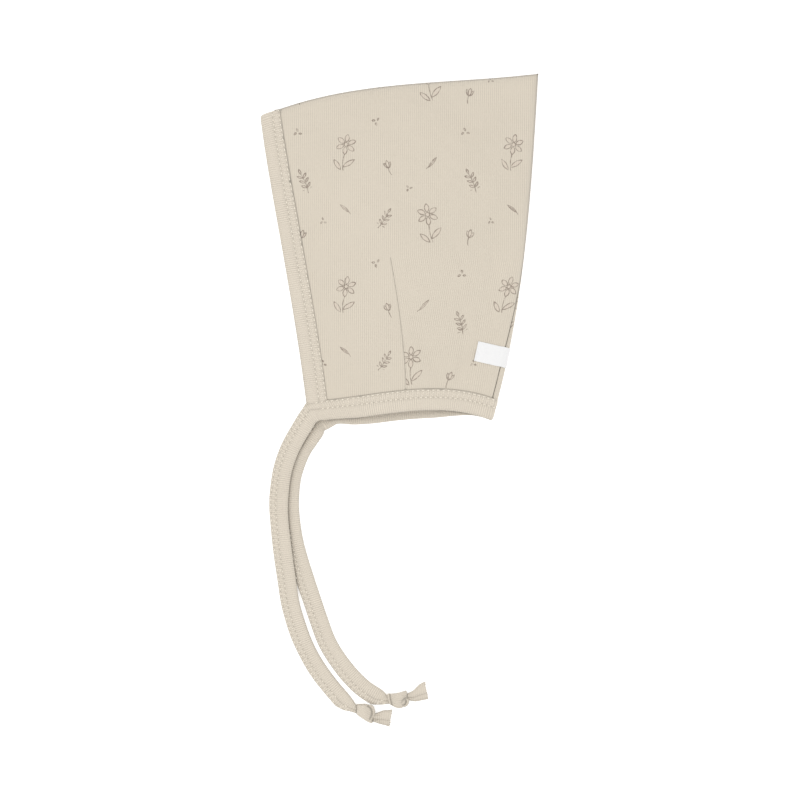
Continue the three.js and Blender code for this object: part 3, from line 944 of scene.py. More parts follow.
class SprigPrint(Group):
    """The scattered print of the jersey, in a repeat that is the builder's own."""

    REPEAT = (0.092, 0.078)
    LAYOUT = (
        PrintPlace("flower", 0.012, 0.014, 8),
        PrintPlace("flower", 0.058, 0.053, -10, 0.94),
        PrintPlace("spray", 0.036, 0.037, 24),
        PrintPlace("spray", 0.080, 0.016, -32, 0.9),
        PrintPlace("pod", 0.034, 0.006, -14),
        PrintPlace("pod", 0.082, 0.044, 18, 0.95),
        PrintPlace("leaf", 0.014, 0.047, -38, 0.8),
        PrintPlace("leaf", 0.058, 0.022, 52, 0.75),
        PrintPlace("seeds", 0.032, 0.064, 10),
        PrintPlace("seeds", 0.075, 0.070, 75),
        PrintPlace("seeds", 0.046, 0.015, 130, 0.8),
        PrintPlace("seeds", 0.001, 0.033, 40, 0.8),
    )

    def __init__(self) -> None:
        """Builds the group: Line and Wash masks from a place in metres."""
        super().__init__("sprig_print", {"Vector": (0.0, 0.0, 0.0)}, ("Line", "Wash"))
        n, given = self.nodes, self.given
        drawings = {"flower": OpenFlower(), "spray": LeafSpray(), "pod": SeedPod(), "leaf": Curl(),
                    "seeds": Seeds()}
        wobble = n.noise(given["Vector"], 420.0, 2.0).outputs["Color"]
        drawn = n.vector("MULTIPLY_ADD", wobble, (0.0005, 0.0005, 0.0), given["Vector"])
        line: object = 1.0
        inside: object = 1.0
        wide, tall = self.REPEAT
        for spot in self.LAYOUT:
            here = n.vector("SUBTRACT", drawn, (spot.x, spot.y, 0.0))
            here = n.vector("WRAP", here, (wide / 2, tall / 2, 1.0), (-wide / 2, -tall / 2, -1.0))
            here = n.local(here, (0.0, 0.0), math.radians(spot.turn), spot.size)
            made = drawings[spot.drawing].place(n, Vector=here)
            line = n.math("MINIMUM", made["Line"], line)
            inside = n.math("MINIMUM", made["Inside"], inside)
        pressure = n.noise(given["Vector"], 300.0, 2.0).outputs["Fac"]
        pen = n.ramp(pressure, 0.3, 0.7, 0.00013, 0.00030)
        edge = n.math("ADD", pen, 0.00012)
        stroke = n.math("DIVIDE", n.math("SUBTRACT", edge, line), 0.00024, clamp=True)
        print_wear_and_rib_shade_patches = n.ramp(n.noise(given["Vector"], 700.0, 3.0).outputs["Fac"], 0.32, 0.5, 0.45, 1.0)
        wash = n.ramp(inside, -0.0005, 0.0003, 1.0, 0.0)
        uneven = n.ramp(n.noise(given["Vector"], 520.0, 2.0).outputs["Fac"], 0.35, 0.65, 0.35, 1.0)
        self.give(Line=n.math("MULTIPLY", stroke, print_wear_and_rib_shade_patches), Wash=n.math("MULTIPLY", wash, uneven))


@dataclass(frozen=True)
class JerseyFinish:
    """Rib jersey, printed on its right side."""

    name: str
    colour: tuple[float, float, float]
    wale: float = 0.0011
    course: float = 0.00085
    depth: float = 0.00020
    # Darkness of the painted shade in the rib's valleys.
    valley: float = 0.85
    printed: bool = False
    line_colour: tuple[float, float, float] = (0.150, 0.108, 0.085)
    wash_colour: tuple[float, float, float] = (0.60, 0.50, 0.425)
    sheen: float = 0.12

    def make(self, kit: "ClothKit") -> bpy.types.Material:
        """Builds the material.

        Args:
            kit: the shared node groups.

        Returns:
            The material.
        """
        sockets = {"Roughness": 0.88, "Specular IOR Level": 0.18,
                   "Sheen Weight": self.sheen, "Sheen Roughness": 0.6}
        material, n, shader = start_material(self.name, sockets)
        place = n.add("ShaderNodeUVMap", uv_map=UV_NAME).outputs["UV"]
        knit = kit.knit.place(n, Vector=place, Wale=self.wale, Course=self.course)
        tone = kit.tone.place(n, Vector=place, Cloud=0.06, Fleck=0.10)["Tone"]
        # Painted shade: the rib's valleys darker and its crests lighter, then a soft band and a crisp dark line
        # along creases, seams, stitch rows and under overlying edges.
        valley = n.ramp(knit["Shade"], 0.0, 1.0, self.valley, 2.0 - self.valley - 0.06, soft=False)
        away = n.add("ShaderNodeAttribute", attribute_name=CREASE_NAME).outputs["Fac"]
        crease_shadow_line = n.ramp(away, 0.10, 0.60, 0.44, 0.0)
        sunk = n.math("SUBTRACT", n.ramp(away, 0.0, 2.4, 0.92, 1.0), crease_shadow_line)
        lit = n.math("MULTIPLY", n.math("MULTIPLY", tone, valley), sunk)
        colour: object = self.colour
        if self.printed:
            drawn = kit.sprigs.place(n, Vector=place)
            wash = n.math("MULTIPLY", drawn["Wash"], 0.38)
            colour = n.mix(wash, (*self.colour, 1.0), (*self.wash_colour, 1.0))
            colour = n.mix(n.math("MULTIPLY", drawn["Line"], 0.76), colour, (*self.line_colour, 1.0))
        n.feed(shader, "Base Color", n.scaled(colour, lit))
        n.feed(shader, "Roughness", n.ramp(knit["Shade"], 0.0, 1.0, 0.95, 0.84, soft=False))
        n.bump(shader, knit["Height"], 0.8, self.depth)
        return material


@dataclass(frozen=True)
class ThreadFinish:
    """Twisted sewing thread."""

    name: str
    colour: tuple[float, float, float]

    def make(self, kit: "ClothKit") -> bpy.types.Material:
        """Builds the material from Object coordinates.

        Args:
            kit: the shared node groups.

        Returns:
            The material.
        """
        material, n, shader = start_material(self.name, {"Roughness": 0.6, "Sheen Weight": 0.2})
        place = n.add("ShaderNodeTexCoord").outputs["Object"]
        tone = kit.tone.place(n, Vector=place, Cloud=0.06, Fleck=0.16)["Tone"]
        n.feed(shader, "Base Color", n.scaled(self.colour, tone))
        n.bump(shader, n.noise(place, 3800.0, 2.0).outputs["Fac"], 0.5, 0.00008)
        return material


@dataclass(frozen=True)
class SatinTapeFinish:
    """White woven tape: fine warp and weft."""

    name: str
    colour: tuple[float, float, float]
    warp: float = 0.00022
    weft: float = 0.00030

    def make(self, kit: "ClothKit") -> bpy.types.Material:
        """Builds the material on the tape's own map, with X along it and Y across.

        Args:
            kit: the shared node groups.

        Returns:
            The material.
        """
        sockets = {"Roughness": 0.52, "Sheen Weight": 0.1, "Specular IOR Level": 0.35}
        material, n, shader = start_material(self.name, sockets)
        place = n.add("ShaderNodeUVMap", uv_map=UV_NAME).outputs["UV"]
        x, y = n.split(place)
        weft = n.ramp(n.math("PINGPONG", n.math("DIVIDE", x, self.weft), 0.5), 0.0, 0.5)
        shift = n.math("ADD", n.math("DIVIDE", y, self.warp), n.math("MULTIPLY", weft, 0.5))
        warp = n.ramp(n.math("PINGPONG", shift, 0.5), 0.0, 0.5)
        height = n.math("MULTIPLY_ADD", warp, 0.6, n.math("MULTIPLY", weft, 0.4))
        tone = kit.tone.place(n, Vector=place, Cloud=0.03, Fleck=0.02)["Tone"]
        shade = n.math("MULTIPLY", n.ramp(height, 0.0, 1.0, 0.93, 1.02, soft=False), tone)
        n.feed(shader, "Base Color", n.scaled(self.colour, shade))
        n.feed(shader, "Roughness", n.ramp(warp, 0.0, 1.0, 0.62, 0.46, soft=False))
        n.bump(shader, height, 0.6, 0.00006)
        return material


def start_material(name: str, sockets: dict[str, object]) -> tuple[bpy.types.Material, Nodes, bpy.types.Node]:
    """A material with only its shader in it.

    Args:
        name: the material's name.
        sockets: values of the shader's own sockets.

    Returns:
        The material, its nodes and its shader.
    """
    material = bpy.data.materials.new(name)
    material.use_nodes = True
    material.node_tree.nodes.clear()
    n = Nodes(material.node_tree)
    shader = n.add("ShaderNodeBsdfPrincipled")
    for socket, value in sockets.items():
        n.feed(shader, socket, value)
    output = n.add("ShaderNodeOutputMaterial")
    material.node_tree.links.new(shader.outputs[0], output.inputs[0])
    return material, n, shader


class ClothKit:
    """The shared node groups, and every finish made from them."""

    def __init__(self) -> None:
        """Builds the groups once, then the materials."""
        self.knit = RibKnit()
        self.tone = ClothTone()
        self.sprigs = SprigPrint()
        self.jersey = JerseyFinish("printed_rib_jersey", (0.600, 0.540, 0.450), printed=True).make(self)
        self.wrong_side = JerseyFinish("jersey_wrong_side", (0.610, 0.552, 0.464), wale=0.0012).make(self)
        self.binding = JerseyFinish("binding_rib", (0.605, 0.545, 0.458), wale=0.00118, depth=0.0003,
                                    valley=0.80).make(self)
        self.thread = ThreadFinish("sewing_thread", (0.74, 0.68, 0.58)).make(self)
        self.tape = SatinTapeFinish("satin_tape", (0.745, 0.742, 0.740)).make(self)


class Piece:
    """Makes objects from bmeshes and reports them to the frame."""

    @staticmethod
    def finish(name: str, mesh: Mesh, materials: list[bpy.types.Material], slot: Slot,
               replaces: tuple[str, ...] = ()) -> bpy.types.Object:
        """Turns a bmesh into a named piece that rides on the bonnet.

        Args:
            name: the piece's name.
            mesh: its shape, in the row frame.
            materials: its materials, in slot order.
            slot: the record's material slot; not used.
            replaces: CAD nodes that it stands for.

        Returns:
            The piece.
        """
        data = bpy.data.meshes.new(name)
        mesh.to_mesh(data)
        mesh.free()
        data.shade_smooth()
        piece = bpy.data.objects.new(name, data)
        bpy.context.scene.collection.objects.link(piece)
        for material in materials:
            data.materials.append(material)
        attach(piece, "root")
        if replaces:
            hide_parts(*replaces)
        log.info("%s: %d faces", name, len(data.polygons))
        return piece


def unit_grid(columns: int, rows: int) -> Mesh:
    """A flat grid from 0 to 1 both ways, to be laid over a surface.

    Args:
        columns: cells across.
        rows: cells up.

    Returns:
        The grid.
    """
    mesh = bmesh.new()
    bmesh.ops.create_grid(mesh, x_segments=columns, y_segments=rows, size=0.5)
    bmesh.ops.translate(mesh, verts=mesh.verts, vec=(0.5, 0.5, 0.0))
    return mesh


def lay_over(mesh: Mesh, points: Array, cut: Array, crease: Array) -> None:
    """Moves a grid's vertices on to a surface and keeps their flat places as its map.

    Args:
        mesh: the grid.
        points: a place for each vertex.
        cut: each vertex's place on the flat cut, in metres.
        crease: each vertex's distance from the nearest crease, in millimetres, which sets its painted shade.
    """
    layer = mesh.loops.layers.uv.new(UV_NAME)
    depth = mesh.verts.layers.float.new(CREASE_NAME)
    mesh.verts.index_update()
    for face in mesh.faces:
        for loop in face.loops:
            loop[layer].uv = cut[loop.vert.index]
    for vert, point in zip(mesh.verts, points.tolist()):
        vert.co = point
    for vert, value in zip(mesh.verts, crease.tolist()):
        vert[depth] = value


def grid_places(mesh: Mesh) -> tuple[Array, Array]:
    """The places of a unit grid's vertices, from 0 to 1 across and up."""
    flat = np.array([vert.co[:2] for vert in mesh.verts])
    return flat[:, 0], flat[:, 1]


@dataclass
class SidePanel:
    """One side panel: a cut of jersey with its dart, rolled and tucked in at the crown and back seams."""

    name: str
    layer: Layer
    columns: int
    rows: int
    cloth: float = 0.0009
    under_binding: float = 0.0028
    roll_columns: float = 0.1
    roll_rows: float = 0.085
    tuck_share: float = 0.22
    tuck_depth: float = 0.0009
    tuck_gap: float = 0.00003
    lip: float = 0.00022
    dart_intake: float = 0.012
    knee: float = 0.42
    mean_height: float = 0.17
    seam_on_edge: float = 0.22
    seam_on_top: float = 0.95
    seam_along: float = 0.03
    seam_start: float = 0.00015
    lower_print_shift: tuple[float, float] = (0.031, 0.047)
    flat: tuple[float, float] = (0.148, 0.185)
    flat_area: float = 0.0220
    rests_on: tuple[str, ...] = ()
    print_shift: tuple[float, float] = (-0.0045, 0.0)

    def _edge(self, place: Array, part: float, last: Array | float) -> tuple[Array, ...]:
        """Shares, roll angles and tucks for places whose last part is the roll.

        Args:
            place: places from 0 to 1.
            part: share of the places that the roll takes.
            last: the roll's last angle.

        Returns:
            Share before the roll, roll angle and tuck depth.
        """
        share = np.clip(place / (1 - part), 0, 1)
        onward = np.clip((place - (1 - part)) / part, 0, 1)
        bend = np.clip(onward / (1 - self.tuck_share), 0, 1)
        tuck = np.clip((onward - (1 - self.tuck_share)) / self.tuck_share, 0, 1)
        radius = ROLL_RADIUS - tuck * self.tuck_depth
        short = (self.tuck_gap + self.lip * (1 - tuck) ** 2) / radius
        roll = np.where(onward > 0, bend * (last - short), 0.0)
        return share, np.maximum(roll, 0.0), tuck ** 1.6 * self.tuck_depth

    def _places(self, s: Array, t: Array) -> Place:
        """Places on the layer for the grid's own places, with a column on the dart's line.

        Args:
            s: places across the grid.
            t: places up it.

        Returns:
            Places on the layer.
        """
        up, roll_up, tuck_up = self._edge(t, self.roll_rows, math.pi / 2)
        width, height = self.layer.width(up), self.mean_height
        last = math.pi / 2 - self.layer.side * self.layer.wrap(np.where(roll_up > 0, 1.0, up))
        share, roll, tuck = self._edge(s, self.roll_columns, last)
        line = self.layer.dart_line(up) / (1 - ROLL_RADIUS / width)
        before_roll = self.columns * (1 - self.roll_columns)
        knee = round(self.knee * before_roll) / before_roll
        across = np.where(share < knee, line * share / knee, line + (1 - line) * (share - knee) / (1 - knee))
        start_across, start_up = self.under_binding / width, self.under_binding / height
        across = across - start_across * np.clip(1 - share / 0.04, 0, 1)
        up = up - start_up * np.clip(1 - up / 0.03, 0, 1)
        return Place(across, up, roll, roll_up, tuck, tuck_up)

    def _cut(self, place: Place) -> Array:
        """Flat place of the cloth: the plan, run on round the rolls.

        Args:
            place: where on the layer.

        Returns:
            Flat points.
        """
        layer = self.layer
        width, height = layer.width(place.up), layer.height(place.across)
        flat = layer.plan(place.across * (1 - ROLL_RADIUS / width), place.up * (1 - ROLL_RADIUS / height))
        flat[:, 0] += ROLL_RADIUS * place.roll_across + place.tuck_across
        flat[:, 1] += ROLL_RADIUS * place.roll_up + place.tuck_up
        if layer.side < 0:
            flat = flat + np.array(self.lower_print_shift)
        return flat + np.array(self.print_shift)

    def _let_out(self, mesh: Mesh, place: Place) -> None:
        """Moves the map on, behind the dart, by the cloth that is sewn into it.

        Args:
            mesh: the panel's grid, with its map.
            place: where each vertex is on the layer.
        """
        layer = self.layer
        width = layer.width(place.up)
        away = layer.dart_away(place.across * (1 - ROLL_RADIUS / width), place.up, width)
        taken = self.dart_intake * np.clip(1 - place.up / layer.dart_top, 0, 1)
        cut = mesh.loops.layers.uv[UV_NAME]
        for face in mesh.faces:
            if sum(away[vert.index] for vert in face.verts) > 0:
                for loop in face.loops:
                    loop[cut].uv.x += taken[loop.vert.index]

    def _crease(self, place: Place) -> Array:
        """Distance in millimetres of each place from the dart, the bindings and the seams, which sets the
        painted shade along them.

        Args:
            place: where on the layer.

        Returns:
            Distances.
        """
        layer = self.layer
        width, height = layer.width(place.up), layer.height(place.across)
        across = place.across * (1 - ROLL_RADIUS / width)
        beyond = np.maximum(place.up - layer.dart_top, 0) * height
        dart = np.hypot(layer.dart_away(across, place.up, width), beyond) + 0.00022
        face = np.maximum(place.across * width, 0)
        neck = np.maximum(place.up * height, 0)
        seam_turn = math.pi / 2 - layer.side * layer.wrap(np.where(place.roll_up > 0, 1.0, place.up))
        back = self._from_seam(seam_turn, place.roll_across)
        crown = self._from_seam(math.pi / 2, place.roll_up)
        return np.minimum.reduce([dart, face, neck, back, crown]) * 1000

    def _from_seam(self, seam_turn: Array | float, roll: Array | float) -> Array:
        """Distance from a seam over its roll, counted mostly in plan so that the painted shade along the seam
        shows as a thin dark line from above.

        Args:
            seam_turn: the roll's angle at the seam.
            roll: the roll's angle at each place.

        Returns:
            One distance for each place.
        """
        seam, here = (np.where(angle > math.pi / 2, 2 - np.sin(angle), np.sin(angle))
                      for angle in (seam_turn, roll))
        sideways = self.seam_on_edge + self.seam_on_top * np.abs(np.cos(seam_turn))
        arc = np.maximum(seam_turn - roll, 0) * self.seam_along
        return ROLL_RADIUS * (sideways * np.maximum(seam - here, 0) + arc) + self.seam_start

    def build(self, kit: ClothKit) -> bpy.types.Object:
        """Args:
            kit: the finishes.

        Returns:
            The piece.
        """
        mesh = unit_grid(self.columns, self.rows)
        place = self._places(*grid_places(mesh))
        lay_over(mesh, self.layer.surface(place), self._cut(place), self._crease(place))
        self._let_out(mesh, place)
        if self.layer.side < 0:
            bmesh.ops.reverse_faces(mesh, faces=mesh.faces)
        doubled = (np.asarray(place.tuck_across) > 0) & (np.asarray(place.tuck_up) > 0)
        corner = [vert for vert, inside in zip(mesh.verts, doubled.tolist()) if inside]
        bmesh.ops.delete(mesh, geom=corner, context="VERTS")
        sides = [kit.jersey, kit.wrong_side]
        piece = Piece.finish(f"{self.name}_cloth", mesh, sides, Slot.JERSEY, (self.name,))
        wall = piece.modifiers.new("cloth wall", "SOLIDIFY")
        wall.thickness, wall.offset = self.cloth, -1.0
        wall.material_offset, wall.material_offset_rim = 1, 1
        return piece


def at_places(along: Array, stations: Array, values: Array) -> Array:
    """Rows of values read off between stations, at distances along them."""
    return np.stack([np.interp(along, stations, values[:, k]) for k in range(values.shape[1])], axis=1)


def evenly(line: Array, step: float) -> Array:
    """Points at even steps along a line, the last one on its end."""
    walked = np.concatenate([[0.0], np.cumsum(np.linalg.norm(np.diff(line, axis=0), axis=1))])
    return at_places(np.linspace(0, walked[-1], int(walked[-1] / step) + 1), walked, line)


@dataclass
class Strip:
    """A flat strip of folded jersey, as stations along its length."""

    centre: Array
    across: Array
    outward: Array
    width: Array
    thickness: Array
    rows: tuple[float, ...] = ()
    row_depth: float = 0.16
    row_width: float = 0.045
    low_edge: float = 5.0
    high_edge: float = 5.0
    underside_gap: float = 0.12
    around: int = 32
    map_start: float = 0.0
    cross_grain: bool = False
    pleats: Array | None = None
    pleat_count: float = 4.5
    # Edges lying over the strip, under which its material paints a shadow that widens by the scale and starts
    # at the given distance.
    shadow_edges: Array | None = None
    shadow_scale: float = 520.0
    shadow_start: float = 0.14

    @property
    def along(self) -> Array:
        """Distance of each station from the first."""
        steps = np.linalg.norm(np.diff(self.centre, axis=0), axis=1)
        return np.concatenate([[0.0], np.cumsum(steps)])

    def _height(self, a: Array) -> Array:
        """Half-thickness at places across the strip, as a share of the thickness.

        Args:
            a: places across.

        Returns:
            Heights.
        """
        squareness = np.where(a < 0, self.low_edge, self.high_edge)
        puff = np.clip(1 - np.abs(2 * a) ** squareness, 0, 1) ** 0.5 * 0.5
        for row in self.rows:
            puff = puff * (1 - self.row_depth * np.exp(-((a - row) / self.row_width) ** 2))
        return puff

    def skin(self, along: Array, a: Array, face: float) -> tuple[Array, Array, Array]:
        """Points on one face of the strip, with the run of the strip and the way out of it there.

        Args:
            along: distances along the strip.
            a: places across it, from -0.5 to 0.5.
            face: 1 for the outward face and -1 for the other.

        Returns:
            Points, directions along and directions outward.
        """
        width = np.interp(along, self.along, self.width)
        thickness = np.interp(along, self.along, self.thickness)
        across = unit(at_places(along, self.along, self.across))
        outward = unit(at_places(along, self.along, self.outward))
        lift = self._height(a) * thickness * face
        points = at_places(along, self.along, self.centre) + across * (a * width)[:, None]
        return points + outward * lift[:, None], unit(np.cross(across, outward)), outward * face

    def _profile(self) -> tuple[Array, Array]:
        """Places across and faces, once round the section, closer together beside the stitch rows.

        Returns:
            Places from -0.5 to 0.5, and 1 or -1 for the face of each.
        """
        turn = np.cos(np.linspace(0, math.pi, self.around // 2 + 1))
        half = 0.5 * np.sign(turn) * np.abs(turn) ** 0.55
        beside = [row + step for row in self.rows for step in (-0.05, -0.022, 0.0, 0.022, 0.05)]
        top = np.array(sorted({*half.tolist(), *beside}, reverse=True))
        below = half[::-1][1:]
        return np.concatenate([top, below]), np.concatenate([np.ones(len(top)), -np.ones(len(below))])

    def _crease(self, a: Array, face: Array, width: Array) -> Array:
        """Distance in millimetres from the strip's edges and its stitch rows, which sets the painted shade
        along them.

        Args:
            a: places across.
            face: the face of each.
            width: the width at each.

        Returns:
            Distances.
        """
        away = (0.5 - np.abs(a)) * width + 0.00030
        for row in self.rows:
            away = np.where(face > 0, np.minimum(away, np.abs(a - row) * width + 0.00032), away)
        return away * 1000

    def _shadow_distance(self, points: Array) -> Array:
        """Distance in plan from the edges that lie over the strip, in millimetres and about halved, which sets
        the painted shadow under those edges.

        Args:
            points: the strip's vertices.

        Returns:
            One distance for each.
        """
        gap = np.linalg.norm(points[:, None, :2] - self.shadow_edges[None, :, :2], axis=2)
        above = self.shadow_edges[None, :, 2] > points[:, None, 2] + 0.0003
        return np.where(above, gap, 1.0).min(axis=1) * self.shadow_scale + self.shadow_start

    def edge(self, side: float) -> Array:
        """Points close together along one edge, -1 for the low one and 1 for the high one."""
        return evenly(self.centre + self.across * (self.width * side / 2)[:, None], 0.0003)

    def first(self, count: int) -> "Strip":
        """The strip's first stations."""
        names = ("centre", "across", "outward", "width", "thickness")
        return replace(self, **{name: getattr(self, name)[:count] for name in names})

    def mesh(self) -> Mesh:
        """Makes the strip as one closed shell.

        Returns:
            The shell. X of its map runs along the strip and Y round it, or the other way where the
            grain is turned.
        """
        profile, faces = self._profile()
        mesh = unit_grid(len(profile) - 1, len(self.centre) - 1)
        s, t = grid_places(mesh)
        station = np.rint(t * (len(self.centre) - 1)).astype(int)
        spot = np.rint(s * (len(profile) - 1)).astype(int)
        a, face = profile[spot], faces[spot]
        width = self.width[station]
        lift = self._height(a) * face * self.thickness[station]
        if self.pleats is not None:
            pleat = np.cos(a * 2 * math.pi * self.pleat_count) * self.pleats[station]
            lift = lift + pleat * np.maximum(face, 0) * np.clip((0.5 - np.abs(a)) / 0.1, 0, 1)
        points = self.centre[station] + self.across[station] * (a * width)[:, None]
        points = points + self.outward[station] * lift[:, None]
        section = np.where(face > 0, 0.5 - a, 1.5 + a + self.underside_gap) * width
        onward = self.along[station] + self.map_start
        cut = np.stack([section, onward] if self.cross_grain else [onward, section], axis=1)
        away = self._crease(a, face, width)
        if self.shadow_edges is not None:
            away = np.minimum(away, self._shadow_distance(points))
        lay_over(mesh, points, cut, away)
        bmesh.ops.remove_doubles(mesh, verts=mesh.verts, dist=1e-7)
        ends = [edge for edge in mesh.edges if edge.is_boundary]
        bmesh.ops.holes_fill(mesh, edges=ends)
        for edge in ends:
            edge.smooth = False
        bmesh.ops.recalc_face_normals(mesh, faces=mesh.faces)
        return mesh


class StitchKind(Enum):
    """How a stitch lies against its row."""

    ALONG = 0.0
    LEFT = 1.0
    RIGHT = -1.0


@dataclass(frozen=True)
class StitchRow:
    """A row of stitches on one face of a strip."""

    across: float
    face: float = 1.0
    pitch: float = 0.0027
    length: float = 0.0019
    thread: float = 0.00032
    kind: StitchKind = StitchKind.ALONG
    slant: float = math.radians(58)
    start: float = 0.001
    proud: float = 0.1
    proud_below: float = -0.7

    def sew(self, mesh: Mesh, strip: Strip) -> None:
        """Adds the row's stitches to a mesh.

        Args:
            mesh: what they go into.
            strip: the strip that carries them.
        """
        total = float(strip.along[-1])
        count = int((total - 2 * self.start) / self.pitch)
        along = self.start + (np.arange(count) + 0.5) * self.pitch
        points, runs, outs = strip.skin(along, np.full(count, self.across), self.face)
        for point, run, out in zip(points, runs, outs):
            turn = Matrix.Rotation(self.kind.value * self.slant, 3, Vector(out))
            heading = turn @ Vector(run)
            side = Vector(out).cross(heading)
            axes = Matrix((heading * self.length / 2, side * self.thread, Vector(out) * self.thread * 0.8))
            place = axes.transposed().to_4x4()
            sunk = self.proud if out[2] > -0.5 else self.proud_below
            place.translation = Vector(point) + Vector(out) * self.thread * sunk
            bmesh.ops.create_icosphere(mesh, subdivisions=1, radius=1.0, matrix=place)


def sew_rows(name: str, strip: Strip, rows: tuple[StitchRow, ...], kit: ClothKit) -> bpy.types.Object:
    """Makes one piece of all the stitch rows on a strip.

    Args:
        name: the piece's name.
        strip: what carries them.
        rows: the rows.
        kit: the finishes.

    Returns:
        The piece.
    """
    mesh = bmesh.new()
    for row in rows:
        row.sew(mesh, strip)
    return Piece.finish(name, mesh, [kit.thread], Slot.BINDING)


def binding_strip(points: Array, across: Array, width: float, overlap: float) -> Strip:
    """The strip of a binding that starts at a seam and stands proud of the cloth on the upper side.

    Args:
        points: the seam.
        across: the way out of the opening at each point.
        width: the binding's width.
        overlap: how far it laps over the seam.

    Returns:
        The strip.
    """
    onward = unit(np.gradient(points, axis=0))
    across = unit(across)
    outward = unit(np.cross(onward, across))
    proud = BAND_PROUD * (1 + outward[:, 2]) / 2
    full = width + CLEARANCE + overlap
    centre = points + across * (CLEARANCE + width - full / 2) + outward * (proud - BAND_THICKNESS / 2)[:, None]
    count = len(points)
    return Strip(centre, across, outward, np.full(count, full), np.full(count, BAND_THICKNESS),
                 rows=STITCH_PLACES, low_edge=16.0)


def cover_stitch(places: tuple[float, float] = STITCH_PLACES, thread: float = 0.00034) -> tuple[StitchRow, ...]:
    """The two needle rows of a cover-stitch and the loops that cross between them.

    Args:
        places: the needle rows, across the strip.
        thread: the thread's thickness.

    Returns:
        Its four rows.
    """
    first, second = places
    left, right = first * 0.62 + second * 0.38, first * 0.32 + second * 0.68
    return (
        StitchRow(first, thread=thread), StitchRow(second, thread=thread * 0.9, start=0.0023),
        StitchRow(left, kind=StitchKind.LEFT, length=0.0024, thread=0.00015),
        StitchRow(right, kind=StitchKind.RIGHT, length=0.0024, thread=0.00015, start=0.0016),
    )


def fold_angles(count: int, steps: int) -> Array:
    """Roll angles of a binding's stations: none until its last steps, which climb towards its fold."""
    return np.concatenate([np.zeros(count - steps), np.arange(1, steps + 1) / (steps + 1)]) * math.pi / 2


@dataclass
class FaceBand:
    """The binding round the face opening, folded over at the crown seam."""

    width: float = FACE_BAND_WIDTH
    overlap: float = 0.0002
    under_neck: float = 0.0009
    rows: int = 120
    fold_steps: int = 9

    def across(self, layer: Layer, up: Array) -> Array:
        """The way out of the face opening, turning into line with the crown at the fold.

        Args:
            layer: the layer.
            up: shares up it.

        Returns:
            Directions.
        """
        run = layer.face(up + EDGE_PROBE) - layer.face(up - EDGE_PROBE)
        square = unit(np.stack([-run[:, 1], run[:, 0]], axis=1))
        crown = unit(layer.crown(np.array([0.0])) - layer.crown(np.array([EDGE_PROBE])))
        blend = smooth((up - 0.8) / 0.2)[:, None]
        return raised(unit(square * (1 - blend) + crown * blend))

    def _run(self, layer: Layer) -> tuple[Array, Array]:
        """Seam points and directions up one layer, without the fold itself.

        Args:
            layer: the layer.

        Returns:
            Points and directions.
        """
        below = np.array([-1.0, -0.5]) * self.under_neck / 0.17
        up = np.concatenate([below, np.linspace(0, 1, self.rows + 1), np.ones(self.fold_steps)])
        roll = fold_angles(len(up), self.fold_steps)
        place = Place(np.zeros(len(up)), up, roll_up=roll)
        seam = layer.surface(place, plain=True)
        seam[:2, 2] -= layer.side * np.array([0.0005, 0.0003])
        return seam, self.across(layer, up)

    def strip(self) -> Strip:
        """The binding's stations, down from the crown's fold on both layers.

        Returns:
            The strip.
        """
        upper, upper_across = self._run(UPPER)
        lower, lower_across = self._run(LOWER)
        fold = UPPER.surface(Place(np.zeros(1), np.ones(1), roll_up=np.array([math.pi / 2])))
        fold[:, 2] = ROLL_RADIUS + CLEARANCE / 2
        points = np.concatenate([upper, fold, lower[::-1]])
        across = np.concatenate([upper_across, self.across(UPPER, np.ones(1)), lower_across[::-1]])
        return binding_strip(points, across, self.width, self.overlap)

    def build(self, kit: ClothKit) -> None:
        """Makes the binding and its cover-stitch.

        Args:
            kit: the finishes.
        """
        strip = self.strip()
        Piece.finish("face_binding", strip.mesh(), [kit.binding], Slot.BINDING, ("face_band",))
        sew_rows("face_binding_stitches", strip, cover_stitch(), kit)


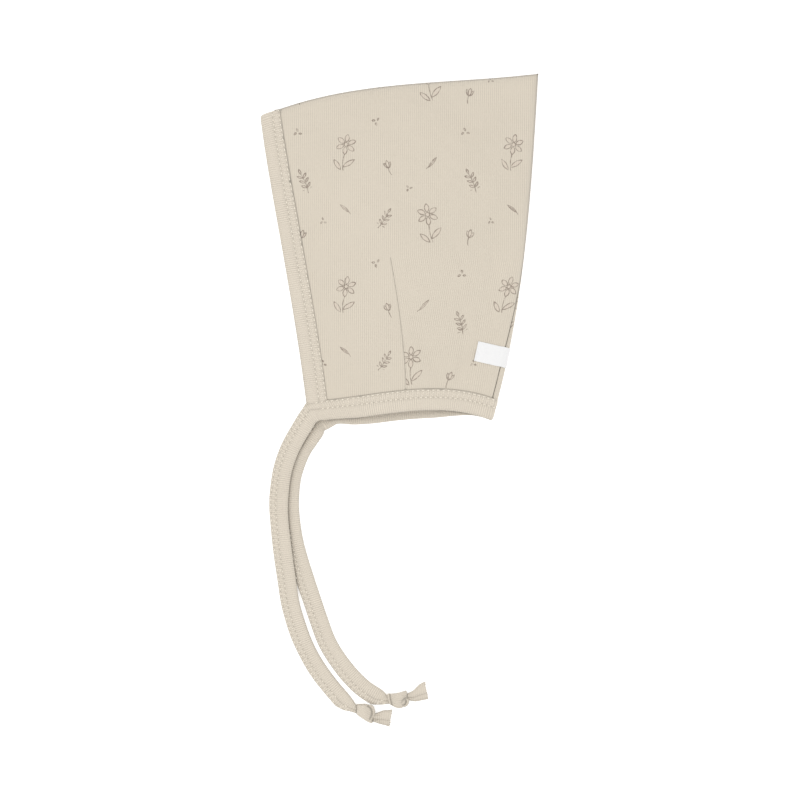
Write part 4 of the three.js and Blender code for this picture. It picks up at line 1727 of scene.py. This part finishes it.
@dataclass
class NeckBand:
    """The binding round the neck opening, folded at the nape, that runs on into the ties."""

    width: float = NECK_BAND_WIDTH
    overlap: float = 0.0002
    columns: int = 80
    fold_steps: int = 9
    past_steps: int = 9

    def across(self, layer: Layer, share: Array, past: Array) -> Array:
        """The way out of the neck opening, turning towards the tie past the front corner.

        Args:
            layer: the layer.
            share: shares along the neck edge.
            past: how far past the corner, from 0 to 1.

        Returns:
            Directions.
        """
        middle = np.clip(share, EDGE_PROBE, 1 - EDGE_PROBE)
        run = layer.neck(middle + EDGE_PROBE) - layer.neck(middle - EDGE_PROBE)
        square = unit(np.stack([run[:, 1], -run[:, 0]], axis=1))
        back = unit(layer.back(np.array([0.0])) - layer.back(np.array([EDGE_PROBE])))
        blend = smooth((share - 0.85) / 0.15)[:, None]
        turn = CORNER_TURN * (1 - smooth(share / 0.22)) + (layer.tie_turn - CORNER_TURN) * past
        return raised(turned(unit(square * (1 - blend) + back * blend), turn))

    def _run(self, layer: Layer) -> tuple[Array, Array]:
        """Seam points and directions from past the front corner to the nape, without the fold.

        Args:
            layer: the layer.

        Returns:
            Points and directions.
        """
        share = np.concatenate([np.linspace(0, 1, self.columns + 1), np.ones(self.fold_steps)])
        place = Place(share, np.zeros(len(share)), roll_across=fold_angles(len(share), self.fold_steps))
        seam, across = layer.surface(place, plain=True), self.across(layer, share, np.zeros(len(share)))
        past = np.arange(self.past_steps, 0, -1) / self.past_steps
        corner = layer.surface(Place(np.zeros(1), np.zeros(1)), plain=True)
        way = FaceBand().across(layer, np.zeros(1))
        beyond = corner + way * ((FACE_BAND_WIDTH + CLEARANCE) * layer.past_corner * past)[:, None]
        beyond_across = self.across(layer, np.zeros(self.past_steps), past)
        return np.concatenate([beyond, seam]), np.concatenate([beyond_across, across])

    def strip(self) -> Strip:
        """The binding's stations from the lower tie, round the nape, to the upper tie.

        Returns:
            The strip.
        """
        lower, lower_across = self._run(LOWER)
        upper, upper_across = self._run(UPPER)
        fold = UPPER.surface(Place(np.ones(1), np.zeros(1), roll_across=np.array([math.pi / 2])))
        fold[:, 2] = ROLL_RADIUS + CLEARANCE / 2
        points = np.concatenate([lower, fold, upper[::-1]])
        across = np.concatenate([lower_across, self.across(UPPER, np.ones(1), np.zeros(1)), upper_across[::-1]])
        strip = binding_strip(points, across, self.width, self.overlap)
        flare = np.zeros(len(points))
        past = np.arange(self.past_steps, 0, -1) / self.past_steps
        flare[:self.past_steps], flare[-self.past_steps:] = past * LOWER.flare, past[::-1] * UPPER.flare
        strip.centre = strip.centre + strip.across * (strip.width * flare / 2)[:, None]
        strip.width = strip.width * (1 + flare)
        # The upper half's overlying edge paints a shadow on the lower half of the band.
        strip.shadow_edges = strip.edge(1)[len(strip.edge(1)) // 2:]
        return strip

    def build(self, kit: ClothKit) -> Strip:
        """Makes the binding and its cover-stitch.

        Args:
            kit: the finishes.

        Returns:
            The strip.
        """
        strip = self.strip()
        Piece.finish("neck_binding", strip.mesh(), [kit.binding], Slot.BINDING, ("neck_band",))
        sew_rows("neck_binding_stitches", strip, cover_stitch(), kit)
        return strip


def route_through(points: Array, step: float) -> Array:
    """An even run of points on a smooth line through the given ones.

    Args:
        points: what the line passes through.
        step: distance between the points that come back.

    Returns:
        The points.
    """
    padded = np.concatenate([[2 * points[0] - points[1]], points, [2 * points[-1] - points[-2]]])
    fine = []
    for p0, p1, p2, p3 in zip(padded, padded[1:], padded[2:], padded[3:]):
        t0, t1 = 0.0, math.sqrt(np.linalg.norm(p1 - p0))
        t2 = t1 + math.sqrt(np.linalg.norm(p2 - p1))
        t3 = t2 + math.sqrt(np.linalg.norm(p3 - p2))
        t = np.linspace(t1, t2, 17)[:-1, None]
        a1 = (t1 - t) / (t1 - t0) * p0 + (t - t0) / (t1 - t0) * p1
        a2 = (t2 - t) / (t2 - t1) * p1 + (t - t1) / (t2 - t1) * p2
        a3 = (t3 - t) / (t3 - t2) * p2 + (t - t2) / (t3 - t2) * p3
        b1 = (t2 - t) / (t2 - t0) * a1 + (t - t0) / (t2 - t0) * a2
        b2 = (t3 - t) / (t3 - t1) * a2 + (t - t1) / (t3 - t1) * a3
        fine.append((t2 - t) / (t2 - t1) * b1 + (t - t1) / (t2 - t1) * b2)
    return evenly(np.concatenate([*fine, points[-1:]]), step)


UPPER_TIE_ROUTE = np.array([
    [-56.0, -102.5, 4.6], [-60.4, -110.9, 4.0], [-64.0, -121.4, 3.9], [-65.8, -132.8, 3.9],
    [-66.3, -142.2, 3.9], [-65.8, -151.0, 3.9], [-64.8, -160.9, 3.9], [-63.4, -171.9, 3.9],
    [-61.7, -183.4, 3.4], [-60.0, -195.0, 2.2], [-57.2, -205.4, 1.4], [-53.7, -215.3, 1.15],
    [-49.2, -224.7, 1.15], [-44.0, -233.2, 1.15], [-37.9, -241.2, 1.15], [-31.4, -248.8, 1.15],
]) * 0.001
LOWER_TIE_ROUTE = np.array([
    [-45.8, -98.9, 1.15], [-49.1, -104.0, 1.15], [-53.3, -110.3, 1.15], [-56.9, -118.4, 1.15],
    [-59.3, -126.6, 1.15], [-60.3, -135.3, 1.15], [-60.3, -142.9, 1.15], [-59.3, -152.6, 1.15],
    [-57.4, -163.3, 1.15], [-54.3, -174.6, 1.15], [-51.3, -183.7, 1.15], [-48.2, -192.8, 1.15],
    [-44.5, -203.9, 1.15], [-39.5, -217.1, 1.15], [-33.3, -227.2, 1.15], [-26.0, -236.3, 1.15],
    [-18.9, -242.9, 1.15], [-12.6, -246.9, 1.15],
]) * 0.001


@dataclass
class Tie:
    """One tie: the free end of the neck binding, a folded strip with a cover-stitched edge."""

    name: str
    route: Array
    band: Strip
    band_end: int
    seed: int
    lead: float = TIE_WIDTH / 4
    width: float = TIE_WIDTH
    wide_at_start: float = 1.03
    narrower_by: float = 0.07
    narrow_within: float = 0.38
    step: float = 0.0011
    turn_in: float = 0.009

    def _band_frame(self) -> tuple[Array, Array, Array]:
        """Way across, way out and way onward of the binding's end, as the tie takes them.

        Returns:
            Three directions.
        """
        up = 1.0 if self.band.outward[self.band_end][2] > 0 else -1.0
        across, outward = -self.band.across[self.band_end], self.band.outward[self.band_end] * up
        onward = np.cross(outward, across)
        return across, outward, unit(onward * np.array([1.0, 1.0, 0.0]))

    def path(self) -> Array:
        """Points of the tie's middle, which starts square on the end of the binding.

        Returns:
            The points.
        """
        start = self.band.centre[self.band_end]
        onward = self._band_frame()[2]
        return route_through(np.concatenate([[start], [start + onward * self.lead], self.route]), self.step)

    def strip(self) -> Strip:
        """Makes the tie's stations, which start as the binding's last one.

        Returns:
            The strip, level from side to side but for a little unevenness.
        """
        points = self.path()
        tangent = unit(np.gradient(points, axis=0))
        side = unit(np.cross(np.array([0.0, 0.0, 1.0]), tangent))
        walked = np.arange(len(points)) * self.step
        sway = rumple(walked, walked * 0.0, 0.030, self.seed)
        width = self.width * (self.wide_at_start - self.narrower_by * walked / walked[-1] + 0.018 * sway)
        thickness = TIE_THICKNESS * (1 + 0.05 * rumple(walked, walked * 0.0, 0.012, self.seed + 1))
        own = smooth(walked / self.turn_in)
        band_across, band_outward, _ = self._band_frame()
        across = unit(band_across * (1 - own)[:, None] - side * own[:, None])
        outward = unit(band_outward * (1 - own)[:, None] + unit(np.cross(tangent, side)) * own[:, None])
        narrowed = smooth(walked / (self.turn_in * self.narrow_within))
        width = self.band.width[self.band_end] * (1 - narrowed) + width * narrowed
        thickness = self.band.thickness[self.band_end] * (1 - own) + thickness * own
        map_start = float(self.band.along[self.band_end])
        return Strip(points, across, outward, width, thickness, rows=TIE_STITCH_PLACES, map_start=map_start)

    def build(self, kit: ClothKit, strip: Strip, knot: list[bpy.types.Object]) -> bpy.types.Object:
        """Args:
            kit: the finishes.
            strip: the tie's stations.
            knot: the pieces of the knot on its end; not used.

        Returns:
            The tie's piece.
        """
        piece = Piece.finish(f"{self.name}_strip", strip.mesh(), [kit.binding], Slot.BINDING, (self.name,))
        rows = cover_stitch(TIE_STITCH_PLACES, 0.0003) + (StitchRow(TIE_STITCH_PLACES[0], face=-1.0),)
        stitches = sew_rows(f"{self.name}_stitches", strip, rows, kit)
        return piece


@dataclass(frozen=True)
class Section:
    """A section across a knotted end: its two edges in plan, its height and its pleats, in millimetres."""

    first_x: float
    first_y: float
    second_x: float
    second_y: float
    height: float
    pleat: float = 0.0


@dataclass(frozen=True)
class KnotShape:
    """How one tie's end is knotted: the strip that runs through, and the turns drawn tight round it."""

    through: tuple[Section, ...]
    turn: tuple[Section, ...]
    loop: tuple[Section, ...]
    frayed: float
    ridge: tuple[Section, ...] = ()


UPPER_KNOT = KnotShape(
    through=(
        Section(-25.4, -248.6, -30.6, -254.3, 2.5), Section(-23.9, -250.9, -26.3, -255.2, 2.9, 0.14),
        Section(-22.6, -251.6, -23.9, -256.0, 3.4, 0.22), Section(-19.8, -252.9, -21.2, -257.6, 4.0, 0.16),
        Section(-16.2, -254.5, -17.3, -259.5, 3.9, 0.26), Section(-13.0, -256.0, -13.2, -261.0, 3.4, 0.36),
        Section(-11.2, -255.4, -11.3, -261.7, 2.8, 0.28), Section(-8.4, -254.4, -9.0, -262.4, 2.1, 0.12),
        Section(-6.0, -254.3, -7.0, -262.9, 1.8, 0.06), Section(-3.9, -254.0, -5.7, -263.4, 1.7, 0.03),
    ),
    turn=(
        Section(-23.4, -251.1, -23.3, -256.5, 3.2), Section(-22.7, -250.8, -22.9, -257.0, 4.3, 0.12),
        Section(-21.4, -250.8, -22.0, -257.7, 4.9, 0.16), Section(-19.0, -250.7, -20.2, -258.9, 5.5, 0.20),
        Section(-16.8, -251.2, -18.0, -260.3, 5.8, 0.26), Section(-15.2, -252.1, -16.2, -261.2, 5.5, 0.34),
        Section(-14.5, -252.9, -14.9, -261.5, 4.8, 0.40), Section(-14.4, -254.2, -14.5, -260.8, 3.6, 0.30),
    ),
    loop=(
        Section(-17.2, -251.9, -15.7, -251.0, 1.5), Section(-15.8, -253.0, -14.1, -252.0, 1.9, 0.05),
        Section(-15.0, -254.9, -13.2, -254.6, 2.0, 0.06), Section(-15.3, -257.2, -13.6, -257.6, 1.9, 0.05),
        Section(-16.1, -258.9, -14.8, -260.4, 1.3),
    ),
    frayed=0.5,
)
LOWER_KNOT = KnotShape(
    through=(
        Section(-8.0, -244.4, -10.5, -251.3, 2.4), Section(-6.8, -245.8, -7.4, -251.0, 2.8, 0.14),
        Section(-6.0, -245.7, -5.5, -250.8, 3.4, 0.22), Section(-1.6, -246.4, -1.1, -250.8, 4.0, 0.14),
        Section(2.8, -245.6, 3.3, -249.7, 3.8, 0.24), Section(4.8, -245.0, 5.3, -248.9, 3.3, 0.32),
        Section(7.7, -243.5, 7.2, -249.3, 2.6, 0.20), Section(9.6, -241.7, 9.5, -249.5, 2.1, 0.10),
        Section(11.4, -240.0, 12.3, -249.0, 1.8, 0.06), Section(13.8, -238.7, 16.0, -248.3, 1.7, 0.03),
    ),
    turn=(
        Section(-5.9, -245.5, -5.2, -250.7, 3.0), Section(-5.4, -245.2, -4.8, -251.2, 4.1, 0.10),
        Section(-4.4, -245.1, -3.9, -251.7, 4.7, 0.14), Section(-2.2, -244.9, -1.9, -252.8, 5.3, 0.18),
        Section(0.6, -244.3, 0.6, -253.2, 5.6, 0.22), Section(2.6, -243.7, 2.4, -252.5, 5.3, 0.28),
        Section(4.0, -243.4, 3.9, -250.9, 4.7, 0.34), Section(4.4, -244.4, 4.5, -249.5, 3.5, 0.24),
    ),
    ridge=(
        Section(-6.8, -245.4, -5.3, -244.9, 1.6), Section(-6.5, -247.2, -4.9, -247.0, 2.2, 0.04),
        Section(-6.0, -249.2, -4.4, -249.3, 2.2, 0.04), Section(-5.4, -250.8, -3.9, -251.3, 1.6),
    ),
    loop=(
        Section(1.2, -249.8, 2.2, -248.8, 1.4), Section(2.4, -248.4, 3.4, -247.2, 1.9, 0.05),
        Section(3.9, -248.9, 5.5, -248.5, 2.1, 0.06), Section(3.5, -250.6, 5.0, -251.2, 2.0, 0.05),
        Section(2.2, -251.4, 3.1, -252.7, 1.4),
    ),
    frayed=-0.5,
)


@dataclass
class TieKnot:
    """A tie's end: the strip gathered into an overhand knot, and its flared cut end."""

    name: str
    tie: Strip
    shape: KnotShape
    seed: int
    step: float = 0.0005
    rest: float = 0.00005
    small_lift: float = 0.0023
    sewn_stations: int = 26
    yarns: int = 44

    def _strip(self, sections: tuple[Section, ...], lift: float = 0.0, square: float = 5.0) -> Strip:
        """A strip through sections that lie one after the other.

        Args:
            sections: what it passes through.
            lift: how far it lies above the surface that the bonnet rests on.
            square: how square its edges are, from 2 for round.

        Returns:
            The strip.
        """
        table = np.array([astuple(section) for section in sections]) * 0.001
        fine = route_through(table, self.step)
        first, second, height, pleat = fine[:, 0:2], fine[:, 2:4], fine[:, 4], fine[:, 5]
        centre = raised((first + second) / 2, self.rest + height / 2 + lift)
        across = raised(unit(second - first))
        outward = np.tile([0.0, 0.0, 1.0], (len(fine), 1))
        width = np.linalg.norm(second - first, axis=1)
        return Strip(centre, across, outward, width, height, low_edge=square, high_edge=square, around=40,
                     pleats=pleat, pleat_count=3.5 + self.seed % 3)

    @staticmethod
    def _over(*lines: Array) -> Array:
        """Lines of points as edges that cast a painted shadow on whatever is under them."""
        return np.concatenate([raised(line[:, :2], 0.03) for line in lines])

    def _tie_end(self) -> Section:
        """The tie's last section, which the knot goes on from.

        Returns:
            The section.
        """
        centre, reach = self.tie.centre[-1], self.tie.across[-1] * self.tie.width[-1] / 2
        first, second = (centre - reach) * 1000, (centre + reach) * 1000
        return Section(*first[:2], *second[:2], float(self.tie.thickness[-1]) * 1000)

    def _through(self) -> Strip:
        """The strip that runs through the knot and ends in the flared cut edge.

        Returns:
            The strip.
        """
        through = self._strip((self._tie_end(), *self.shape.through))
        through.rows, through.row_depth = TIE_STITCH_PLACES, 0.12
        through.map_start = self.tie.map_start + float(self.tie.along[-1])
        return through

    def _turns(self, through: Strip) -> list[Strip]:
        """The turns on the strip that runs through, with painted shade where one passes under another.

        Args:
            through: the strip that they are drawn tight round.

        Returns:
            The wide turn and the small ones on it.
        """
        turn = self._strip(self.shape.turn, square=2.6)
        turn.cross_grain, turn.pleat_count = True, 2.5
        shapes = (self.shape.ridge, self.shape.loop)
        small = [self._strip(shape, lift=self.small_lift, square=2.2) for shape in shapes if shape]
        turn.shadow_edges = self._over(*(strip.edge(side) for strip in small for side in (-1, 1)))
        half = np.array([[-0.5], [0.5]])
        ends = [evenly(turn.centre[i] + turn.across[i] * turn.width[i] * half, 0.0003) for i in (0, -1)]
        through.shadow_edges = self._over(*ends)
        return [turn, *small]

    def _fray(self, mesh: Mesh, end: Strip) -> None:
        """Adds loose yarn ends at the cut edge, longer and closer together at one corner.

        Args:
            mesh: what they go into.
            end: the strip whose last station is the cut edge.
        """
        rng = np.random.default_rng(self.seed)
        away = mesh.verts.layers.float[CREASE_NAME]
        along = Vector(unit(end.centre[-1] - end.centre[-2]))
        sideways = Vector(end.across[-1])
        for k in range(self.yarns):
            side = (k / (self.yarns - 1) - 0.5) * 0.97 + rng.uniform(-0.012, 0.012)
            near_corner = math.exp(-((side - self.shape.frayed) / 0.18) ** 2)
            lean = along + sideways * (side * 0.4 + rng.uniform(-0.45, 0.45))
            length = rng.uniform(0.0002, 0.0008) * (1 + 1.4 * near_corner)
            root = Vector(end.centre[-1]) + sideways * side * float(end.width[-1])
            root.z += rng.uniform(-0.3, 0.3) * float(end.thickness[-1])
            place = lean.to_track_quat("Z", "Y").to_matrix().to_4x4()
            place.translation = root + lean.normalized() * length * 0.35
            yarn = bmesh.ops.create_cone(mesh, cap_ends=True, segments=5, radius1=0.00012, radius2=0.00005,
                                         depth=length, matrix=place)
            for vert in yarn["verts"]:
                vert[away] = OPEN_CLOTH

    def build(self, kit: ClothKit) -> list[bpy.types.Object]:
        """Makes the knot's piece, and the stitches that run into it.

        Args:
            kit: the finishes.

        Returns:
            Both pieces.
        """
        through = self._through()
        turns = self._turns(through)
        mesh = through.mesh()
        for part in turns:
            data = bpy.data.meshes.new("turn")
            shell = part.mesh()
            shell.to_mesh(data)
            shell.free()
            mesh.from_mesh(data)
            bpy.data.meshes.remove(data)
        self._fray(mesh, through)
        knot = Piece.finish(f"{self.name}_strip", mesh, [kit.binding], Slot.BINDING, (self.name,))
        sewn = through.first(self.sewn_stations)
        stitches = sew_rows(f"{self.name}_stitches", sewn, cover_stitch(TIE_STITCH_PLACES, 0.0003), kit)
        return [knot, stitches]


@dataclass
class LabelTape:
    """A blank woven tape folded round the back edge and stitched down at its ends."""

    up: float = LABEL_UP
    reach: float = LABEL_REACH
    height: float = LABEL_HEIGHT
    thickness: float = 0.00045
    lift: float = 0.0001
    tilt: float = LABEL_TILT
    inward_steps: int = 18
    roll_steps: int = 10

    def _over(self, layer: Layer, target: Array) -> tuple[float, float]:
        """Shares across and up a layer, before its rolls, over a point of the plan.

        Args:
            layer: the layer.
            target: the point.

        Returns:
            Both shares.
        """
        width = float(layer.width(np.array(self.up)))
        height = float(layer.height(np.array(1.0)))
        across, up = 1.0, self.up
        for _ in range(8):
            here = layer.plan(np.array(across), np.array(up))
            across += (target[0] - here[0]) / width
            up += (target[1] - here[1]) / height
        return across / (1 - ROLL_RADIUS / width), up / (1 - ROLL_RADIUS / height)

    def _rail(self, shift: float) -> Array:
        """One long edge of the tape on the cloth, from below, round the back edge, to above.

        Args:
            shift: how far the edge lies up from the tape's middle.

        Returns:
            The points.
        """
        inward = np.array([-math.cos(self.tilt), math.sin(self.tilt)])
        runs = []
        for layer in (LOWER, UPPER):
            edge = layer.back(np.array(self.up + shift / float(layer.height(np.array(1.0)))))
            points = []
            for i in range(self.inward_steps, 0, -1):
                target = edge + inward * (ROLL_RADIUS + (self.reach - ROLL_RADIUS) * i / self.inward_steps)
                across, up = self._over(layer, target)
                points.append(layer.surface(Place(np.array([across]), np.array([up])))[0])
            _, up = self._over(layer, edge)
            for i in range(self.roll_steps + 1):
                roll = np.array([math.pi / 2 * i / self.roll_steps])
                points.append(layer.surface(Place(np.ones(1), np.array([up]), roll_across=roll))[0])
            runs.append(np.array(points))
        return np.concatenate([runs[0], runs[1][::-1][1:]])

    def strip(self) -> Strip:
        """The tape's stations, a little outside the cloth.

        Returns:
            The strip.
        """
        low, high = self._rail(-self.height / 2), self._rail(self.height / 2)
        middle = (low + high) / 2
        across = unit(low - high)
        outward = unit(np.cross(unit(np.gradient(middle, axis=0)), across))
        centre = middle + outward * (self.lift + self.thickness / 2)
        count = len(middle)
        return Strip(centre, across, outward, np.full(count, self.height), np.full(count, self.thickness))

    def build(self, kit: ClothKit) -> None:
        """Makes the tape and the stitches that hold its two ends.

        Args:
            kit: the finishes.
        """
        strip = self.strip()
        Piece.finish("label_tape", strip.mesh(), [kit.tape], Slot.LABEL, ("label",))
        mesh = bmesh.new()
        for end in (0.0009, float(strip.along[-1]) - 0.0009):
            a = np.linspace(-0.44, 0.44, 7)
            points, runs, outs = strip.skin(np.full(7, end), a, 1.0)
            for point, run, out in zip(points, runs, outs):
                side = Vector(out).cross(Vector(run))
                axes = Matrix((side * 0.0006, Vector(run) * 0.00015, Vector(out) * 0.00012))
                place = axes.transposed().to_4x4()
                place.translation = Vector(point)
                bmesh.ops.create_icosphere(mesh, subdivisions=1, radius=1.0, matrix=place)
        Piece.finish("label_stitches", mesh, [kit.tape], Slot.LABEL)


@dataclass
class Studio:
    """The pale floor, the soft light and the camera straight above."""

    view_width: float = 0.44
    middle: tuple[float, float] = (0.00055, -0.0833)
    camera_height: float = 2.6
    focus_level: float = 0.008
    floor_colour: tuple[float, float, float] = (0.95, 0.95, 0.95)
    floor_glow: float = 0.32
    world_strength: float = 0.90

    def camera(self) -> None:
        """Makes the camera at the photograph's angle."""
        data = bpy.data.cameras.new("camera")
        data.sensor_width = 36.0
        data.lens = 36.0 * (self.camera_height - self.focus_level) / self.view_width
        data.clip_end = 20.0
        camera = bpy.data.objects.new("camera", data)
        camera.location = (*self.middle, self.camera_height)
        bpy.context.scene.collection.objects.link(camera)
        bpy.context.scene.camera = camera

    def _light(self, name: str, place: tuple[float, float, float], size: float, power: float) -> None:
        """Adds a square soft light aimed at the middle of the view.

        Args:
            name: the light's name.
            place: where it hangs.
            size: its width.
            power: its watts.
        """
        data = bpy.data.lights.new(name, "AREA")
        data.shape, data.size, data.energy = "SQUARE", size, power
        light = bpy.data.objects.new(name, data)
        light.location = place
        aim = Vector((*self.middle, 0.0)) - Vector(place)
        light.rotation_euler = aim.to_track_quat("-Z", "Y").to_euler()
        bpy.context.scene.collection.objects.link(light)

    def build(self) -> None:
        """Makes the floor, the lights and the world."""
        mesh = bmesh.new()
        bmesh.ops.create_grid(mesh, x_segments=1, y_segments=1, size=3.0)
        bmesh.ops.translate(mesh, verts=mesh.verts, vec=(0.0, 0.0, -0.0001))
        data = bpy.data.meshes.new("floor")
        mesh.to_mesh(data)
        mesh.free()
        floor = bpy.data.objects.new("floor", data)
        bpy.context.scene.collection.objects.link(floor)
        material, _, _ = start_material("pale_floor", {
            "Roughness": 0.9, "Base Color": (*self.floor_colour, 1.0), "Specular IOR Level": 0.1,
            "Emission Color": (1.0, 1.0, 1.0, 1.0), "Emission Strength": self.floor_glow})
        data.materials.append(material)
        self._light("key", (-0.9, -0.1, 1.7), 1.6, 14.0)
        self._light("fill", (1.3, -0.3, 1.8), 1.4, 9.0)
        world = bpy.data.worlds.new("soft_room")
        world.use_nodes = True
        background = world.node_tree.nodes["Background"]
        background.inputs["Color"].default_value = (1.0, 1.0, 1.0, 1.0)
        background.inputs["Strength"].default_value = self.world_strength
        bpy.context.scene.world = world
        bpy.context.scene.view_settings.view_transform = "Standard"


def build_ties(kit: ClothKit, band: Strip) -> None:
    """Makes both ties with their knots, on the ends of the neck binding.

    Args:
        kit: the finishes.
        band: the neck binding's strip.
    """
    upper = Tie("left_tie", UPPER_TIE_ROUTE, band, band_end=-1, seed=31, lead=0.0012)
    lower = Tie("right_tie", LOWER_TIE_ROUTE, band, band_end=0, seed=41, lead=0.0008, turn_in=0.012)
    upper_strip, lower_strip = upper.strip(), lower.strip()
    # The upper tie's edges and the band's overlying edge paint a shadow on the lower tie.
    lower_strip.shadow_edges = np.concatenate([upper_strip.edge(1), upper_strip.edge(-1), band.shadow_edges])
    upper.build(kit, upper_strip, TieKnot("left_knot", upper_strip, UPPER_KNOT, seed=2).build(kit))
    lower.build(kit, lower_strip, TieKnot("right_knot", lower_strip, LOWER_KNOT, seed=7).build(kit))


def main() -> None:
    """Builds the scene in order."""
    logging.basicConfig(level=logging.INFO, format="%(name)s: %(message)s")
    studio = Studio()
    studio.camera()
    kit = ClothKit()
    neck = NeckBand()
    band = neck.build(kit)
    build_ties(kit, band)
    right = SidePanel("right_side_panel", LOWER, columns=110, rows=140, flat=(0.148, 0.188), flat_area=0.0230)
    SidePanel("left_side_panel", UPPER, columns=150, rows=190, rests_on=(right.build(kit).name,)).build(kit)
    FaceBand().build(kit)
    LabelTape().build(kit)
    studio.build()


if __name__ == "__main__":
    main()
